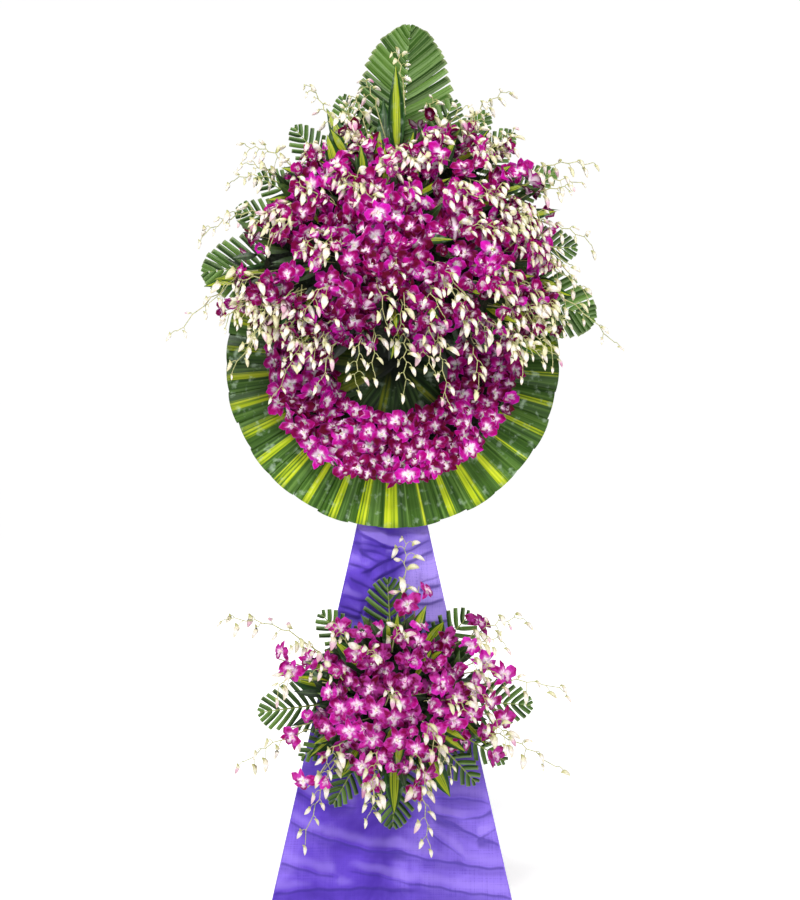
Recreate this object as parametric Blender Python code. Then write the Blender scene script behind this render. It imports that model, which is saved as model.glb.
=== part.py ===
"""Standing funeral wreath: a wooden tripod easel wrapped in violet cloth, a round
fan of variegated leaves with a ring of orchid blooms on it, a large head of
orchid sprays with palm fronds above, and a smaller one below.

Metres, +Z up, the front looks along -Y, the origin on the floor under the middle
of the whole object. The wreath leans back on its rear leg. Everything that leans
is laid out on the wreath's own face: u runs to the right, v up the face from the
floor line and w out of it towards the viewer. Its flowers are placed by rules.
"""
import math
from random import Random

import bpy
import bmesh
from mathutils import Matrix, Vector

# Driving dimensions in metres, and angles in degrees turned to radians.
LEAN = math.radians(6.0)
SEAT_GAP = 0.0003

# Easel of square battens. The cloth's outer edge narrows steadily up the face.
BATTEN = 0.0254
HALF_SPREAD = 0.284
SPREAD_LOSS = 0.2235
CLOTH = 0.0015
LEG_FRONT = -0.0126
LEG_TOP = 1.14
CROSSBARS = {"crossbar_low": 0.300, "crossbar_mid": 0.640, "crossbar_top": 1.068}
CROSSBAR_HEIGHT = 0.050
CROSSBAR_DEPTH = 0.022
BACK_FOOT = 0.610
STRETCHER = 0.020
SKIRT_SPAN = (0.012, 0.612)
NECK_SPAN = (0.6132, 0.930)

# Round fan of leaves on its backing board.
DISC_V = 1.287
BOARD_RADIUS = 0.330
BOARD_DEPTH = 0.012
FAN_RADIUS = 0.398
FAN_INNER = 0.012
FAN_LEAVES = 34
FAN_PARTS = 4
LEAF_THICK = 0.0012

# Ring of blooms on its foam.
RING_INNER = 0.150
RING_OUTER = 0.282
RING_FRONT = 0.036
RING_BED = 0.009
RING_END = math.radians(8.0)
RING_PARTS = 4
RING_ROWS = ((0.163, 8), (0.214, 11), (0.265, 14))

# Upper head of orchids, its foam, fronds and leaves.
UPPER = (0.0, 1.540)
UPPER_FOAM = (0.150, 0.120, 0.0363, 0.0997)
UPPER_CORE = (0.322, 0.242, 0.100, 0.102)
UPPER_LEVELS = (0.046, 0.060, 0.074, 0.089)
UPPER_BEND = 0.040
UPPER_BLOOMS = 60

# Lower head of orchids, its tray, foam, fronds and leaves.
LOWER = (0.006, 0.500)
LOWER_FOAM = (0.105, 0.085, -0.0062, 0.0537)
LOWER_TRAY = (0.112, 0.092, -0.0105, -0.0065)
LOWER_CORE = (0.192, 0.168, 0.054, 0.055)
LOWER_LEVELS = (0.004, 0.017, 0.030, 0.043)
LOWER_BEND = -0.020
LOWER_BLOOMS = 28

# Outline of a bloom: angle, reach as a share of its radius, and side of its stalk.
BLOOM_RIM = (
    (90, 1.0, 0), (122, 0.48, 0), (144, 0.95, 1), (188, 0.98, 1), (210, 0.45, 1), (237, 0.95, 1),
    (270, 0.52, 2), (303, 0.95, 2), (330, 0.45, 2), (352, 0.98, 2), (396, 0.95, 0), (418, 0.48, 0),
)
BLOOM_RADIUS = 0.043
BUD_LENGTH = 0.025
BUD_RADIUS = 0.0070
SPRAY_BUDS = 6
SPRAY_BENDS = 4

# Fronds: tip u, v, full width, depth level and leaflet pairs.
UPPER_FRONDS = (
    (0.045, 2.130, 0.230, 0, 10), (-0.122, 1.935, 0.105, 1, 7), (-0.238, 1.850, 0.100, 2, 6),
    (-0.328, 1.736, 0.100, 0, 6), (-0.376, 1.647, 0.105, 1, 6), (-0.453, 1.493, 0.175, 2, 8),
    (0.150, 1.925, 0.115, 1, 7), (0.228, 1.888, 0.100, 2, 6), (0.293, 1.848, 0.100, 0, 6),
    (0.394, 1.746, 0.095, 1, 6), (0.442, 1.554, 0.120, 2, 7), (0.488, 1.389, 0.185, 0, 8),
)
LOWER_FRONDS = (
    (-0.012, 0.774, 0.125, 0, 8), (-0.169, 0.692, 0.085, 1, 6), (-0.313, 0.460, 0.120, 0, 7),
    (0.187, 0.692, 0.105, 1, 7), (0.329, 0.476, 0.110, 0, 7), (0.266, 0.348, 0.070, 1, 5),
    (0.196, 0.300, 0.075, 2, 5), (0.002, 0.194, 0.120, 0, 8), (-0.138, 0.248, 0.080, 1, 6),
    (-0.214, 0.357, 0.060, 2, 5),
)

# Variegated leaves: tip u, v, width and depth level.
UPPER_LEAVES = (
    (0.011, 1.997, 0.036, 3), (-0.022, 1.918, 0.040, 2), (-0.157, 1.888, 0.044, 3),
    (0.235, 1.843, 0.040, 3), (-0.444, 1.457, 0.052, 3), (0.426, 1.433, 0.050, 3),
    (0.401, 1.332, 0.044, 3), (0.345, 1.290, 0.040, 3),
)
LOWER_LEAVES = (
    (-0.240, 0.544, 0.050, 3), (-0.157, 0.606, 0.046, 2), (-0.119, 0.316, 0.050, 3),
    (0.005, 0.233, 0.044, 2), (0.133, 0.273, 0.042, 3), (0.120, 0.670, 0.040, 3),
)

# Bud sprays: where each leaves its head, u and v, and its tip, u, v and w.
UPPER_SPRAYS = (
    (-0.110, 1.740, -0.201, 1.931, 0.115), (-0.200, 1.690, -0.343, 1.777, 0.120),
    (-0.240, 1.610, -0.439, 1.565, 0.130), (-0.250, 1.480, -0.491, 1.332, 0.150),
    (-0.200, 1.400, -0.366, 1.239, 0.160), (-0.140, 1.380, -0.262, 1.186, 0.170),
    (-0.060, 1.370, -0.083, 1.205, 0.190), (0.030, 1.370, 0.030, 1.190, 0.190),
    (0.090, 1.380, 0.125, 1.165, 0.185), (0.160, 1.390, 0.200, 1.200, 0.175),
    (0.240, 1.470, 0.509, 1.307, 0.140), (0.250, 1.580, 0.462, 1.546, 0.130),
    (0.230, 1.650, 0.465, 1.735, 0.120), (0.120, 1.730, 0.269, 1.914, 0.115),
)
LOWER_SPRAYS = (
    (-0.120, 0.570, -0.381, 0.677, 0.080), (-0.120, 0.430, -0.333, 0.355, 0.090),
    (-0.100, 0.400, -0.211, 0.167, 0.110), (-0.020, 0.370, -0.053, 0.205, 0.110),
    (0.050, 0.380, 0.085, 0.150, 0.110), (0.120, 0.500, 0.393, 0.516, 0.090),
    (0.120, 0.430, 0.370, 0.344, 0.090), (0.110, 0.580, 0.294, 0.679, 0.080),
    (0.030, 0.630, 0.030, 0.859, 0.075),
)

FINISHES = {
    "wood": ((0.42, 0.27, 0.14), 0.70),
    "violet_cloth": ((0.20, 0.09, 0.60), 0.80),
    "foam": ((0.10, 0.22, 0.08), 0.90),
    "board": ((0.75, 0.76, 0.74), 0.85),
    "tray": ((0.05, 0.12, 0.06), 0.50),
    "frond": ((0.05, 0.16, 0.03), 0.45),
    "striped_leaf": ((0.16, 0.30, 0.03), 0.40),
    "orchid": ((0.42, 0.01, 0.26), 0.50),
}


def clear_scene():
    for item in list(bpy.data.objects):
        bpy.data.objects.remove(item, do_unlink=True)


def make_finishes():
    made = {}
    for name, (colour, roughness) in FINISHES.items():
        material = bpy.data.materials.new(name)
        material.use_nodes = True
        shader = material.node_tree.nodes["Principled BSDF"]
        shader.inputs["Base Color"].default_value = (*colour, 1.0)
        shader.inputs["Roughness"].default_value = roughness
        shader.inputs["Metallic"].default_value = 0.0
        made[name] = material
    return made


def on_face(u, v, w):
    """A point of the wreath's face in the leaning frame's own axes."""
    return Vector((u, -w, v))


def face_height(u, v, w):
    """World height of a point given on the face."""
    return v * math.cos(LEAN) + w * math.sin(LEAN)


def closed_mesh(name, points, faces):
    """A mesh of a closed body, its faces turned outwards."""
    mesh = bpy.data.meshes.new(name)
    mesh.from_pydata(points, [], faces)
    shape = bmesh.new()
    shape.from_mesh(mesh)
    if shape.calc_volume(signed=True) < 0:
        bmesh.ops.reverse_faces(shape, faces=shape.faces)
        shape.to_mesh(mesh)
    shape.free()
    return mesh


def place(name, points, faces, finish, parent):
    """Make one named object from points and faces under its parent."""
    mesh = closed_mesh(name, points, faces)
    mesh.materials.append(finish)
    item = bpy.data.objects.new(name, mesh)
    item.parent = parent
    bpy.context.collection.objects.link(item)
    return item


def slab(front, back, faces):
    """Close a thin sheet: its faces in front, the same ones turned over behind,
    split along the same diagonals, and a wall along every free edge."""
    count = len(front)
    triangles = []
    for face in faces:
        for corner in range(1, len(face) - 1):
            triangles.append((face[0], face[corner], face[corner + 1]))
    edges = set()
    for a, b, c in triangles:
        edges.update(((a, b), (b, c), (c, a)))
    closed = list(triangles)
    closed.extend((c + count, b + count, a + count) for a, b, c in triangles)
    for a, b in edges:
        if (b, a) not in edges:
            closed.append((b, a, a + count))
            closed.append((b, a + count, b + count))
    return list(front) + list(back), closed


def box_block(half_u, half_v, back, front, centre):
    """Corners and faces of a block on the face."""
    cu, cv = centre
    points = [on_face(cu + su * half_u, cv + sv * half_v, w)
              for w in (back, front) for su, sv in ((-1, -1), (1, -1), (1, 1), (-1, 1))]
    faces = [(3, 2, 1, 0), (4, 5, 6, 7), (0, 1, 5, 4), (1, 2, 6, 5), (2, 3, 7, 6), (3, 0, 4, 7)]
    return points, faces


def bevelled(item, width, segments=2):
    bevel = item.modifiers.new("rounded edges", "BEVEL")
    bevel.width = width
    bevel.segments = segments
    bevel.limit_method = "ANGLE"
    return item


# Easel
def edge_at(v):
    """Half width of the wrapped easel at a height on the face."""
    return HALF_SPREAD - SPREAD_LOSS * v


def make_legs(finish, face):
    """Two front legs whose feet are cut level with the floor."""
    back = LEG_FRONT - BATTEN
    for name, side in (("leg_left", -1), ("leg_right", 1)):
        points = []
        for w in (LEG_FRONT, back):
            for inset in (CLOTH + 0.0004, CLOTH + 0.0004 + BATTEN):
                foot = -w * math.tan(LEAN)
                for v in (foot, LEG_TOP):
                    points.append(on_face(side * (edge_at(v) - inset), v, w))
        faces = [(0, 1, 3, 2), (4, 6, 7, 5), (0, 4, 5, 1), (2, 3, 7, 6), (0, 2, 6, 4), (1, 5, 7, 3)]
        place(name, points, faces, finish, face)


def make_crossbars(finish, face):
    """Battens across the backs of the two legs."""
    front = LEG_FRONT - BATTEN - SEAT_GAP
    for name, v in CROSSBARS.items():
        reach = edge_at(v) - 0.006
        points, faces = box_block(reach, CROSSBAR_HEIGHT / 2, front - CROSSBAR_DEPTH, front, (0, v))
        place(name, points, faces, finish, face)


def make_back_leg(finish, stand):
    """Rear leg: its top is cut to the upper crossbar's back and its foot to the floor."""
    w = LEG_FRONT - BATTEN - CROSSBAR_DEPTH - 2 * SEAT_GAP
    middle = CROSSBARS["crossbar_top"]
    tops = []
    for v in (middle - CROSSBAR_HEIGHT / 2, middle + CROSSBAR_HEIGHT / 2):
        tops.append((v * math.sin(LEAN) - w * math.cos(LEAN), face_height(0, v, w)))
    (low_y, low_z), (high_y, high_z) = tops
    slope = (BACK_FOOT - low_y) / low_z
    profile = [(low_y, low_z), (BACK_FOOT, 0.0), (high_y + slope * high_z, 0.0), (high_y, high_z)]
    half = BATTEN / 2
    points = [Vector((u, y, z)) for u in (-half, half) for y, z in profile]
    faces = [(3, 2, 1, 0), (4, 5, 6, 7), (0, 1, 5, 4), (1, 2, 6, 5), (2, 3, 7, 6), (3, 0, 4, 7)]
    place("leg_back", points, faces, finish, stand)
    return slope, low_y, low_z


def make_stretcher(finish, stand, slope, low_y, low_z):
    """Level batten from the low crossbar to the rear leg, cut to both."""
    w = LEG_FRONT - BATTEN - CROSSBAR_DEPTH - 2 * SEAT_GAP
    middle = CROSSBARS["crossbar_low"] * math.cos(LEAN)
    points = []
    for u in (-STRETCHER / 2, STRETCHER / 2):
        for z in (middle - STRETCHER / 2, middle + STRETCHER / 2):
            v = (z - w * math.sin(LEAN)) / math.cos(LEAN)
            start = v * math.sin(LEAN) - w * math.cos(LEAN)
            end = low_y + slope * (low_z - z) - SEAT_GAP
            points.append(Vector((u, start, z)))
            points.append(Vector((u, end, z)))
    faces = [(0, 1, 3, 2), (4, 6, 7, 5), (0, 4, 5, 1), (2, 3, 7, 6), (0, 2, 6, 4), (1, 5, 7, 3)]
    place("stretcher", points, faces, finish, stand)


# Cloth
def skirt_fold(side, v):
    """Forward swell of the lower cloth: folds that sag between the legs."""
    sag = v + 0.045 * side * side
    swell = 0.5 + 0.5 * math.sin(2 * math.pi * sag / 0.115)
    below = min(1.0, max(0.0, (0.385 - v) / 0.05))
    return 0.0045 * swell * below * (1 - side ** 4)


def neck_fold(side, v):
    """Forward swell of the upper cloth: two wraps that cross slantwise."""
    first = math.sin(2 * math.pi * (v + 0.10 * side) / 0.105)
    return 0.003 * (0.5 + 0.5 * first) * (1 - side ** 4)


def make_cloth(name, span, fold, rows, finish, face):
    """A sheet over the front of both legs and round their outer sides."""
    columns = 9
    low, high = span
    back_edge = LEG_FRONT - BATTEN
    front, back = [], []
    for row in range(rows + 1):
        v = low + (high - low) * row / rows
        edge = edge_at(v)
        base = LEG_FRONT + SEAT_GAP + CLOTH
        front.append(on_face(-edge, v, back_edge))
        back.append(on_face(-edge + CLOTH, v, back_edge))
        for column in range(columns):
            side = 2 * column / (columns - 1) - 1
            swell = fold(side, v)
            inner = side * (edge - CLOTH) if abs(side) == 1 else side * edge
            front.append(on_face(side * edge, v, base + swell))
            back.append(on_face(inner, v, base + swell - CLOTH))
        front.append(on_face(edge, v, back_edge))
        back.append(on_face(edge - CLOTH, v, back_edge))
    wide = columns + 2
    faces = []
    for row in range(rows):
        for column in range(wide - 1):
            corner = row * wide + column
            faces.append((corner, corner + 1, corner + 1 + wide, corner + wide))
    points, closed = slab(front, back, faces)
    place(name, points, closed, finish, face)


# Round fan of leaves
def fan_rise(radius):
    """Height of a leaf's crest in the fan, in step with the leaf's width."""
    return 0.0012 + 0.026 * radius


def make_board(finish, face):
    shape = bmesh.new()
    bmesh.ops.create_cone(shape, cap_ends=True, segments=48, radius1=BOARD_RADIUS,
                          radius2=BOARD_RADIUS, depth=BOARD_DEPTH)
    bmesh.ops.rotate(shape, verts=shape.verts, matrix=Matrix.Rotation(math.pi / 2, 3, "X"))
    mesh = bpy.data.meshes.new("backing_board")
    shape.to_mesh(mesh)
    shape.free()
    mesh.materials.append(finish)
    item = bpy.data.objects.new("backing_board", mesh)
    item.parent = face
    item.location = on_face(0, DISC_V, -SEAT_GAP - BOARD_DEPTH / 2)
    bpy.context.collection.objects.link(item)


def make_fan(finish, face):
    """Leaves that lap one over the next round the disc, in four sectors. Across a
    leaf the sheet climbs from its left edge to its rib and falls a little to its
    right edge, and then steps down to the next leaf."""
    step = 2 * math.pi / FAN_LEAVES
    radii = (FAN_INNER, 0.120, 0.250, FAN_RADIUS)
    across = ((-0.46, 0.12, 0.990), (0.0, 1.0, 1.0), (0.46, 0.62, 0.988))
    firsts = [round(part * FAN_LEAVES / FAN_PARTS) for part in range(FAN_PARTS + 1)]
    for part in range(FAN_PARTS):
        leaves = range(firsts[part], firsts[part + 1])
        front, back = [], []
        for leaf in leaves:
            for offset, height, trim in across:
                if leaf == leaves[-1] and offset > 0:
                    offset = 0.52
                angle = -math.pi / 2 + (leaf + offset) * step
                for ring, radius in enumerate(radii):
                    if ring == len(radii) - 1:
                        radius *= trim * (1 + 0.006 * math.sin(2.4 * leaf))
                    w = LEAF_THICK + height * fan_rise(radius)
                    u, v = radius * math.cos(angle), DISC_V + radius * math.sin(angle)
                    front.append(on_face(u, v, w))
                    back.append(on_face(u, v, w - LEAF_THICK))
        rings = len(radii)
        faces = []
        for column in range(len(front) // rings - 1):
            for ring in range(rings - 1):
                corner = column * rings + ring
                faces.append((corner, corner + 1, corner + 1 + rings, corner + rings))
        points, closed = slab(front, back, faces)
        place(f"fan_leaves_{part + 1}", points, closed, finish, face)


def make_ring_foam(finish, face):
    """Flat foam ring with slanted shoulders, turned round the disc's axis."""
    back = LEAF_THICK + fan_rise(RING_OUTER) + SEAT_GAP
    profile = [(RING_INNER, back), (RING_OUTER, back), (RING_OUTER, 0.026),
               (RING_OUTER - 0.012, RING_FRONT), (RING_INNER + 0.012, RING_FRONT), (RING_INNER, 0.026)]
    turns = 28
    points, faces = [], []
    for turn in range(turns):
        angle = 2 * math.pi * turn / turns
        for radius, w in profile:
            points.append(on_face(radius * math.cos(angle), DISC_V + radius * math.sin(angle), w))
    size = len(profile)
    for turn in range(turns):
        for corner in range(size):
            a = turn * size + corner
            b = turn * size + (corner + 1) % size
            c = ((turn + 1) % turns) * size + (corner + 1) % size
            d = ((turn + 1) % turns) * size + corner
            faces.append((a, d, c, b))
    place("ring_foam", points, faces, finish, face)


# Flowers
def bloom(place_at, outward, turn, radius, root):
    """An orchid bloom as a star: three pointed sepals and two broad petals round a
    raised lip, on a slim three-sided stalk that reaches into what carries it."""
    outward = outward.normalized()
    right = Vector((0, 0, 1)).cross(outward)
    right = right.normalized() if right.length > 0.01 else Vector((1, 0, 0))
    up = outward.cross(right)

    def around(angle, spread, lift):
        angle = math.radians(angle) + turn
        return place_at + (right * math.cos(angle) + up * math.sin(angle)) * spread + outward * lift

    points = [place_at + outward * radius * 0.17 - up * radius * 0.08]
    for depth, spread in ((-0.10 * radius, 0.13 * radius), (-root, 0.10 * radius)):
        points.extend(around(angle, spread, depth) for angle in (90, 210, 330))
    faces = [(4, 6, 5)]
    for index in range(3):
        after = (index + 1) % 3
        faces.append((1 + index, 4 + index, 4 + after, 1 + after))
    for angle, reach, neck in BLOOM_RIM:
        points.append(around(angle, radius * reach, radius * (0.12 if reach > 0.5 else -0.04)))
    count = len(BLOOM_RIM)
    for index in range(count):
        here, after = 7 + index, 7 + (index + 1) % count
        neck, next_neck = BLOOM_RIM[index][2], BLOOM_RIM[(index + 1) % count][2]
        faces.append((0, here, after))
        faces.append((1 + neck, after, here))
        if neck != next_neck:
            faces.append((1 + neck, 1 + next_neck, after))
    return points, faces


def bud(start, heading, length, radius):
    """A plump three-sided spindle whose root end sits in its twig."""
    heading = heading.normalized()
    side = heading.orthogonal().normalized()
    other = heading.cross(side)
    points = [start - heading * 0.0015, start + heading * length]
    for index in range(3):
        angle = 2 * math.pi * index / 3
        points.append(start + heading * length * 0.5
                      + (side * math.cos(angle) + other * math.sin(angle)) * radius)
    faces = []
    for index in range(3):
        here, after = 2 + index, 2 + (index + 1) % 3
        faces.append((1, here, after))
        faces.append((0, after, here))
    return points, faces


def twig(path, radius):
    """A three-sided stalk along a path, thinner at its tip."""
    points, faces = [], []
    last = len(path) - 1
    for index, point in enumerate(path):
        ahead = path[min(index + 1, last)] - path[max(index - 1, 0)]
        ahead.normalize()
        side = ahead.cross(Vector((0.13, 0.97, 0.21))).normalized()
        other = ahead.cross(side)
        wide = radius * (1 - 0.45 * index / last)
        for corner in range(3):
            angle = 2 * math.pi * corner / 3
            points.append(point + (side * math.cos(angle) + other * math.sin(angle)) * wide)
    for index in range(last):
        for corner in range(3):
            a, b = 3 * index + corner, 3 * index + (corner + 1) % 3
            faces.append((a, b, b + 3, a + 3))
    faces.append((2, 1, 0))
    faces.append((3 * last, 3 * last + 1, 3 * last + 2))
    return points, faces


def spray(start, end, rng):
    """A bud-bearing twig that arches out of a head and droops to its tip."""
    rise = Vector((0, -0.035, 0.25 * math.hypot(end.x - start.x, end.y - start.y)))
    path = []
    for index in range(SPRAY_BENDS + 1):
        t = index / SPRAY_BENDS
        path.append(start.lerp(end, t) + rise * (4 * t * (1 - t)) * 0.45)
    pieces = [twig(path, 0.0032)]
    for index in range(SPRAY_BUDS):
        t = 0.40 + 0.60 * index / (SPRAY_BUDS - 1)
        where = t * SPRAY_BENDS
        cell = min(SPRAY_BENDS - 1, int(where))
        along = path[cell + 1] - path[cell]
        point = path[cell] + along * (where - cell)
        along.normalize()
        swing = along.cross(Vector((0, 1, 0))).normalized() * (1 if index % 2 else -1)
        heading = along * (0.7 if index < SPRAY_BUDS - 1 else 2.5) + swing + Vector((0, -0.25, -0.25))
        size = 1.1 - 0.35 * t
        pieces.append(bud(point, heading, BUD_LENGTH * size * rng.uniform(0.95, 1.05),
                          BUD_RADIUS * size))
    return pieces


def dome_core(centre, sizes, segments, rings):
    """Smaller domed core of a head, flat behind."""
    half_u, half_v, back, depth = sizes
    cu, cv = centre
    points = [on_face(cu, cv, back + depth), on_face(cu, cv, back)]
    for ring in range(1, rings + 1):
        polar = 0.5 * math.pi * ring / rings
        for index in range(segments):
            angle = 2 * math.pi * index / segments
            points.append(on_face(cu + half_u * math.sin(polar) * math.cos(angle),
                                  cv + half_v * math.sin(polar) * math.sin(angle),
                                  back + 0.012 + (depth - 0.012) * math.cos(polar)))
    rim = len(points)
    for index in range(segments):
        angle = 2 * math.pi * index / segments
        points.append(on_face(cu + half_u * 0.96 * math.cos(angle),
                              cv + half_v * 0.96 * math.sin(angle), back))
    faces = []
    for index in range(segments):
        after = (index + 1) % segments
        faces.append((0, 2 + index, 2 + after))
        for ring in range(rings):
            inner, outer = 2 + ring * segments, 2 + (ring + 1) * segments
            faces.append((inner + index, outer + index, outer + after, inner + after))
        faces.append((1, rim + after, rim + index))
    return points, faces


def fuse(name, core, pieces, finish, face):
    """Join a core and everything that grows out of it into one closed body."""
    item = place(name, core[0], core[1], finish, face)
    group = bpy.data.collections.new(name + "_growth")
    bpy.context.scene.collection.children.link(group)
    for index, (points, faces) in enumerate(pieces):
        mesh = closed_mesh(f"{name}_{index}", points, faces)
        grown = bpy.data.objects.new(f"{name}_{index}", mesh)
        grown.parent = face
        group.objects.link(grown)
    union = item.modifiers.new("grown together", "BOOLEAN")
    union.operation = "UNION"
    union.operand_type = "COLLECTION"
    union.solver = "MANIFOLD"
    union.collection = group
    bpy.context.view_layer.update()
    evaluated = item.evaluated_get(bpy.context.evaluated_depsgraph_get())
    joined = bpy.data.meshes.new_from_object(evaluated)
    item.modifiers.clear()
    item.data = joined
    for grown in list(group.objects):
        bpy.data.objects.remove(grown, do_unlink=True)
    bpy.data.collections.remove(group)
    keep_one_body(joined)
    joined.materials.clear()
    joined.materials.append(finish)
    return item


def keep_one_body(mesh):
    """Drop loose scraps: only the largest connected body stays."""
    shape = bmesh.new()
    shape.from_mesh(mesh)
    bmesh.ops.triangulate(shape, faces=shape.faces)
    unseen = set(shape.verts)
    bodies = []
    while unseen:
        seed = unseen.pop()
        body, queue = {seed}, [seed]
        while queue:
            for edge in queue.pop().link_edges:
                for vertex in edge.verts:
                    if vertex in unseen:
                        unseen.discard(vertex)
                        body.add(vertex)
                        queue.append(vertex)
        bodies.append(body)
    bodies.sort(key=len, reverse=True)
    for scrap in bodies[1:]:
        bmesh.ops.delete(shape, geom=list(scrap), context="VERTS")
    shape.to_mesh(mesh)
    shape.free()


def head_blooms(centre, sizes, count, standoff, rng):
    """Blooms spread evenly over a domed core by the golden angle."""
    half_u, half_v, back, depth = sizes
    pieces = []
    for index in range(count):
        polar = math.acos(1 - 0.80 * (index + 0.5) / count)
        angle = index * math.pi * (3 - math.sqrt(5))
        flat = (math.sin(polar) * math.cos(angle), math.sin(polar) * math.sin(angle))
        seat = on_face(centre[0] + half_u * flat[0], centre[1] + half_v * flat[1],
                       back + depth * math.cos(polar))
        outward = on_face(flat[0] / half_u, flat[1] / half_v, math.cos(polar) / depth * 1.35)
        outward.normalize()
        outward += Vector((rng.uniform(-0.15, 0.15), 0, rng.uniform(-0.2, 0.1)))
        low, high = standoff
        lift = low + (high - low) * (index % 3) / 2 + rng.uniform(-0.003, 0.003)
        turn = rng.uniform(-0.5, 0.5)
        pieces.append(bloom(seat + outward.normalized() * lift, outward, turn,
                            BLOOM_RADIUS * rng.uniform(0.95, 1.05), lift + 0.008))
    return pieces


def make_head(name, centre, sizes, count, standoff, sprays, seed, finish, face):
    """One head of orchid sprays: a core, the open blooms on it and the bud twigs."""
    rng = Random(seed)
    half_u, half_v, back, depth = sizes
    pieces = head_blooms(centre, sizes, count, standoff, rng)
    for start_u, start_v, tip_u, tip_v, tip_w in sprays:
        ru, rv = (start_u - centre[0]) / half_u, (start_v - centre[1]) / half_v
        start_w = back + depth * math.sqrt(max(0.05, 1 - ru * ru - rv * rv)) - 0.012
        pieces.extend(spray(on_face(start_u, start_v, start_w), on_face(tip_u, tip_v, tip_w), rng))
    fuse(name, dome_core(centre, sizes, 16, 4), pieces, finish, face)


def ring_bed(start, end, segments=7):
    """Curved bed that the ring's blooms stand in, over the foam ring's front."""
    back = RING_FRONT + SEAT_GAP
    inner, outer = RING_INNER + 0.004, RING_OUTER - 0.004
    profile = ((inner, back), (outer, back), (outer - 0.01, back + RING_BED), (inner + 0.01, back + RING_BED))
    points, faces = [], []
    for index in range(segments + 1):
        angle = start + (end - start) * index / segments
        for radius, w in profile:
            points.append(on_face(radius * math.cos(angle), DISC_V + radius * math.sin(angle), w))
    for index in range(segments):
        for corner in range(4):
            a, b = 4 * index + corner, 4 * index + (corner + 1) % 4
            faces.append((a, a + 4, b + 4, b))
    faces.append((0, 1, 2, 3))
    last = 4 * segments
    faces.append((last + 3, last + 2, last + 1, last))
    return points, faces


def make_ring_blooms(finish, face):
    """Blooms facing front in three rows round the lower ring, in four stretches."""
    rng = Random(11)
    start, end = -math.pi - RING_END, RING_END
    stretch = (end - start) / RING_PARTS
    for part in range(RING_PARTS):
        low = start + part * stretch
        pieces = []
        for radius, count in RING_ROWS:
            margin = 0.5 * BLOOM_RADIUS / radius
            inside = [start + (end - start) * (index + 0.5) / count for index in range(count)]
            inside = [angle for angle in inside if low <= angle < low + stretch]
            for angle in inside:
                angle = min(max(angle, low + margin), low + stretch - margin)
                seat = on_face(radius * math.cos(angle), DISC_V + radius * math.sin(angle),
                               RING_FRONT + RING_BED)
                lean = (radius - 0.5 * (RING_INNER + RING_OUTER)) * 6
                outward = on_face(lean * math.cos(angle), lean * math.sin(angle), 1.0)
                outward += Vector((rng.uniform(-0.15, 0.15), 0, rng.uniform(-0.15, 0.15)))
                lift = rng.uniform(0.016, 0.026)
                pieces.append(bloom(seat + outward.normalized() * lift, outward,
                                    rng.uniform(-0.6, 0.6), 0.036, lift + 0.006))
        gap = 0.5 * SEAT_GAP / RING_INNER
        fuse(f"ring_blooms_{part + 1}", ring_bed(low + gap, low + stretch - gap), pieces, finish, face)


# Foliage
def foam_seat(centre, foam, tip_u, tip_v, half_width):
    """Distance from a foam block's middle, towards a tip, where a stalk meets its side."""
    du, dv = tip_u - centre[0], tip_v - centre[1]
    length = math.hypot(du, dv)
    du, dv = abs(du / length), abs(dv / length)
    through_side = (foam[0] + SEAT_GAP + half_width * dv) / max(du, 1e-6)
    through_end = (foam[1] + SEAT_GAP + half_width * du) / max(dv, 1e-6)
    return min(through_side, through_end)


def frond(name, centre, foam, levels, bend_back, row, finish, face):
    """A trimmed palm frond: leaflets cut to the rib on both sides, one thin blade
    with a thicker rib, arching back towards its tip."""
    tip_u, tip_v, width, level, pairs = row
    du, dv = tip_u - centre[0], tip_v - centre[1]
    full = math.hypot(du, dv)
    along = (du / full, dv / full)
    start = foam_seat(centre, foam, tip_u, tip_v, 0.003)
    w0 = levels[level]
    reach = full - start
    first = start + 0.22 * reach
    slant = 0.62
    rib_end = full - 0.13 * width

    def point(distance, off, lift):
        bend = bend_back * (max(0.0, distance - start) / 0.40) ** 2
        w = w0 - bend - 0.08 * abs(off) + lift
        return on_face(centre[0] + along[0] * distance - along[1] * off,
                       centre[1] + along[1] * distance + along[0] * off, w)

    def half_width(t):
        return 0.5 * width * math.sqrt(1 - ((t - 0.40) / 0.575) ** 2)

    front, back, faces = [], [], []

    def add(distance, off, thick):
        front.append(point(distance, off, thick / 2))
        back.append(point(distance, off, -thick / 2))
        return len(front) - 1

    stations = [start] + [first + (rib_end - first) * index / pairs for index in range(pairs + 1)]
    left = []
    right = []
    for index, distance in enumerate(stations):
        half = 0.003 - 0.0018 * index / len(stations)
        left.append(add(distance, half, 0.0022))
        right.append(add(distance, -half, 0.0022))
    for index in range(len(stations) - 1):
        faces.append((right[index], right[index + 1], left[index + 1], left[index]))
    pitch = (rib_end - first) / pairs
    for index in range(pairs):
        t = (index + 0.5) / pairs
        spread = half_width(t)
        tip = first + pitch * (index + 0.5) + spread * slant * (1 + 0.8 * t)
        for side, rib in ((1, left), (-1, right)):
            near = add(tip - 0.42 * pitch, side * spread, 0.0009)
            far = add(tip + 0.42 * pitch, side * spread * 0.93, 0.0009)
            ring = (rib[index + 1], rib[index + 2], far, near)
            faces.append(ring if side > 0 else tuple(reversed(ring)))
    points, closed = slab(front, back, faces)
    place(name, points, closed, finish, face)


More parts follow.
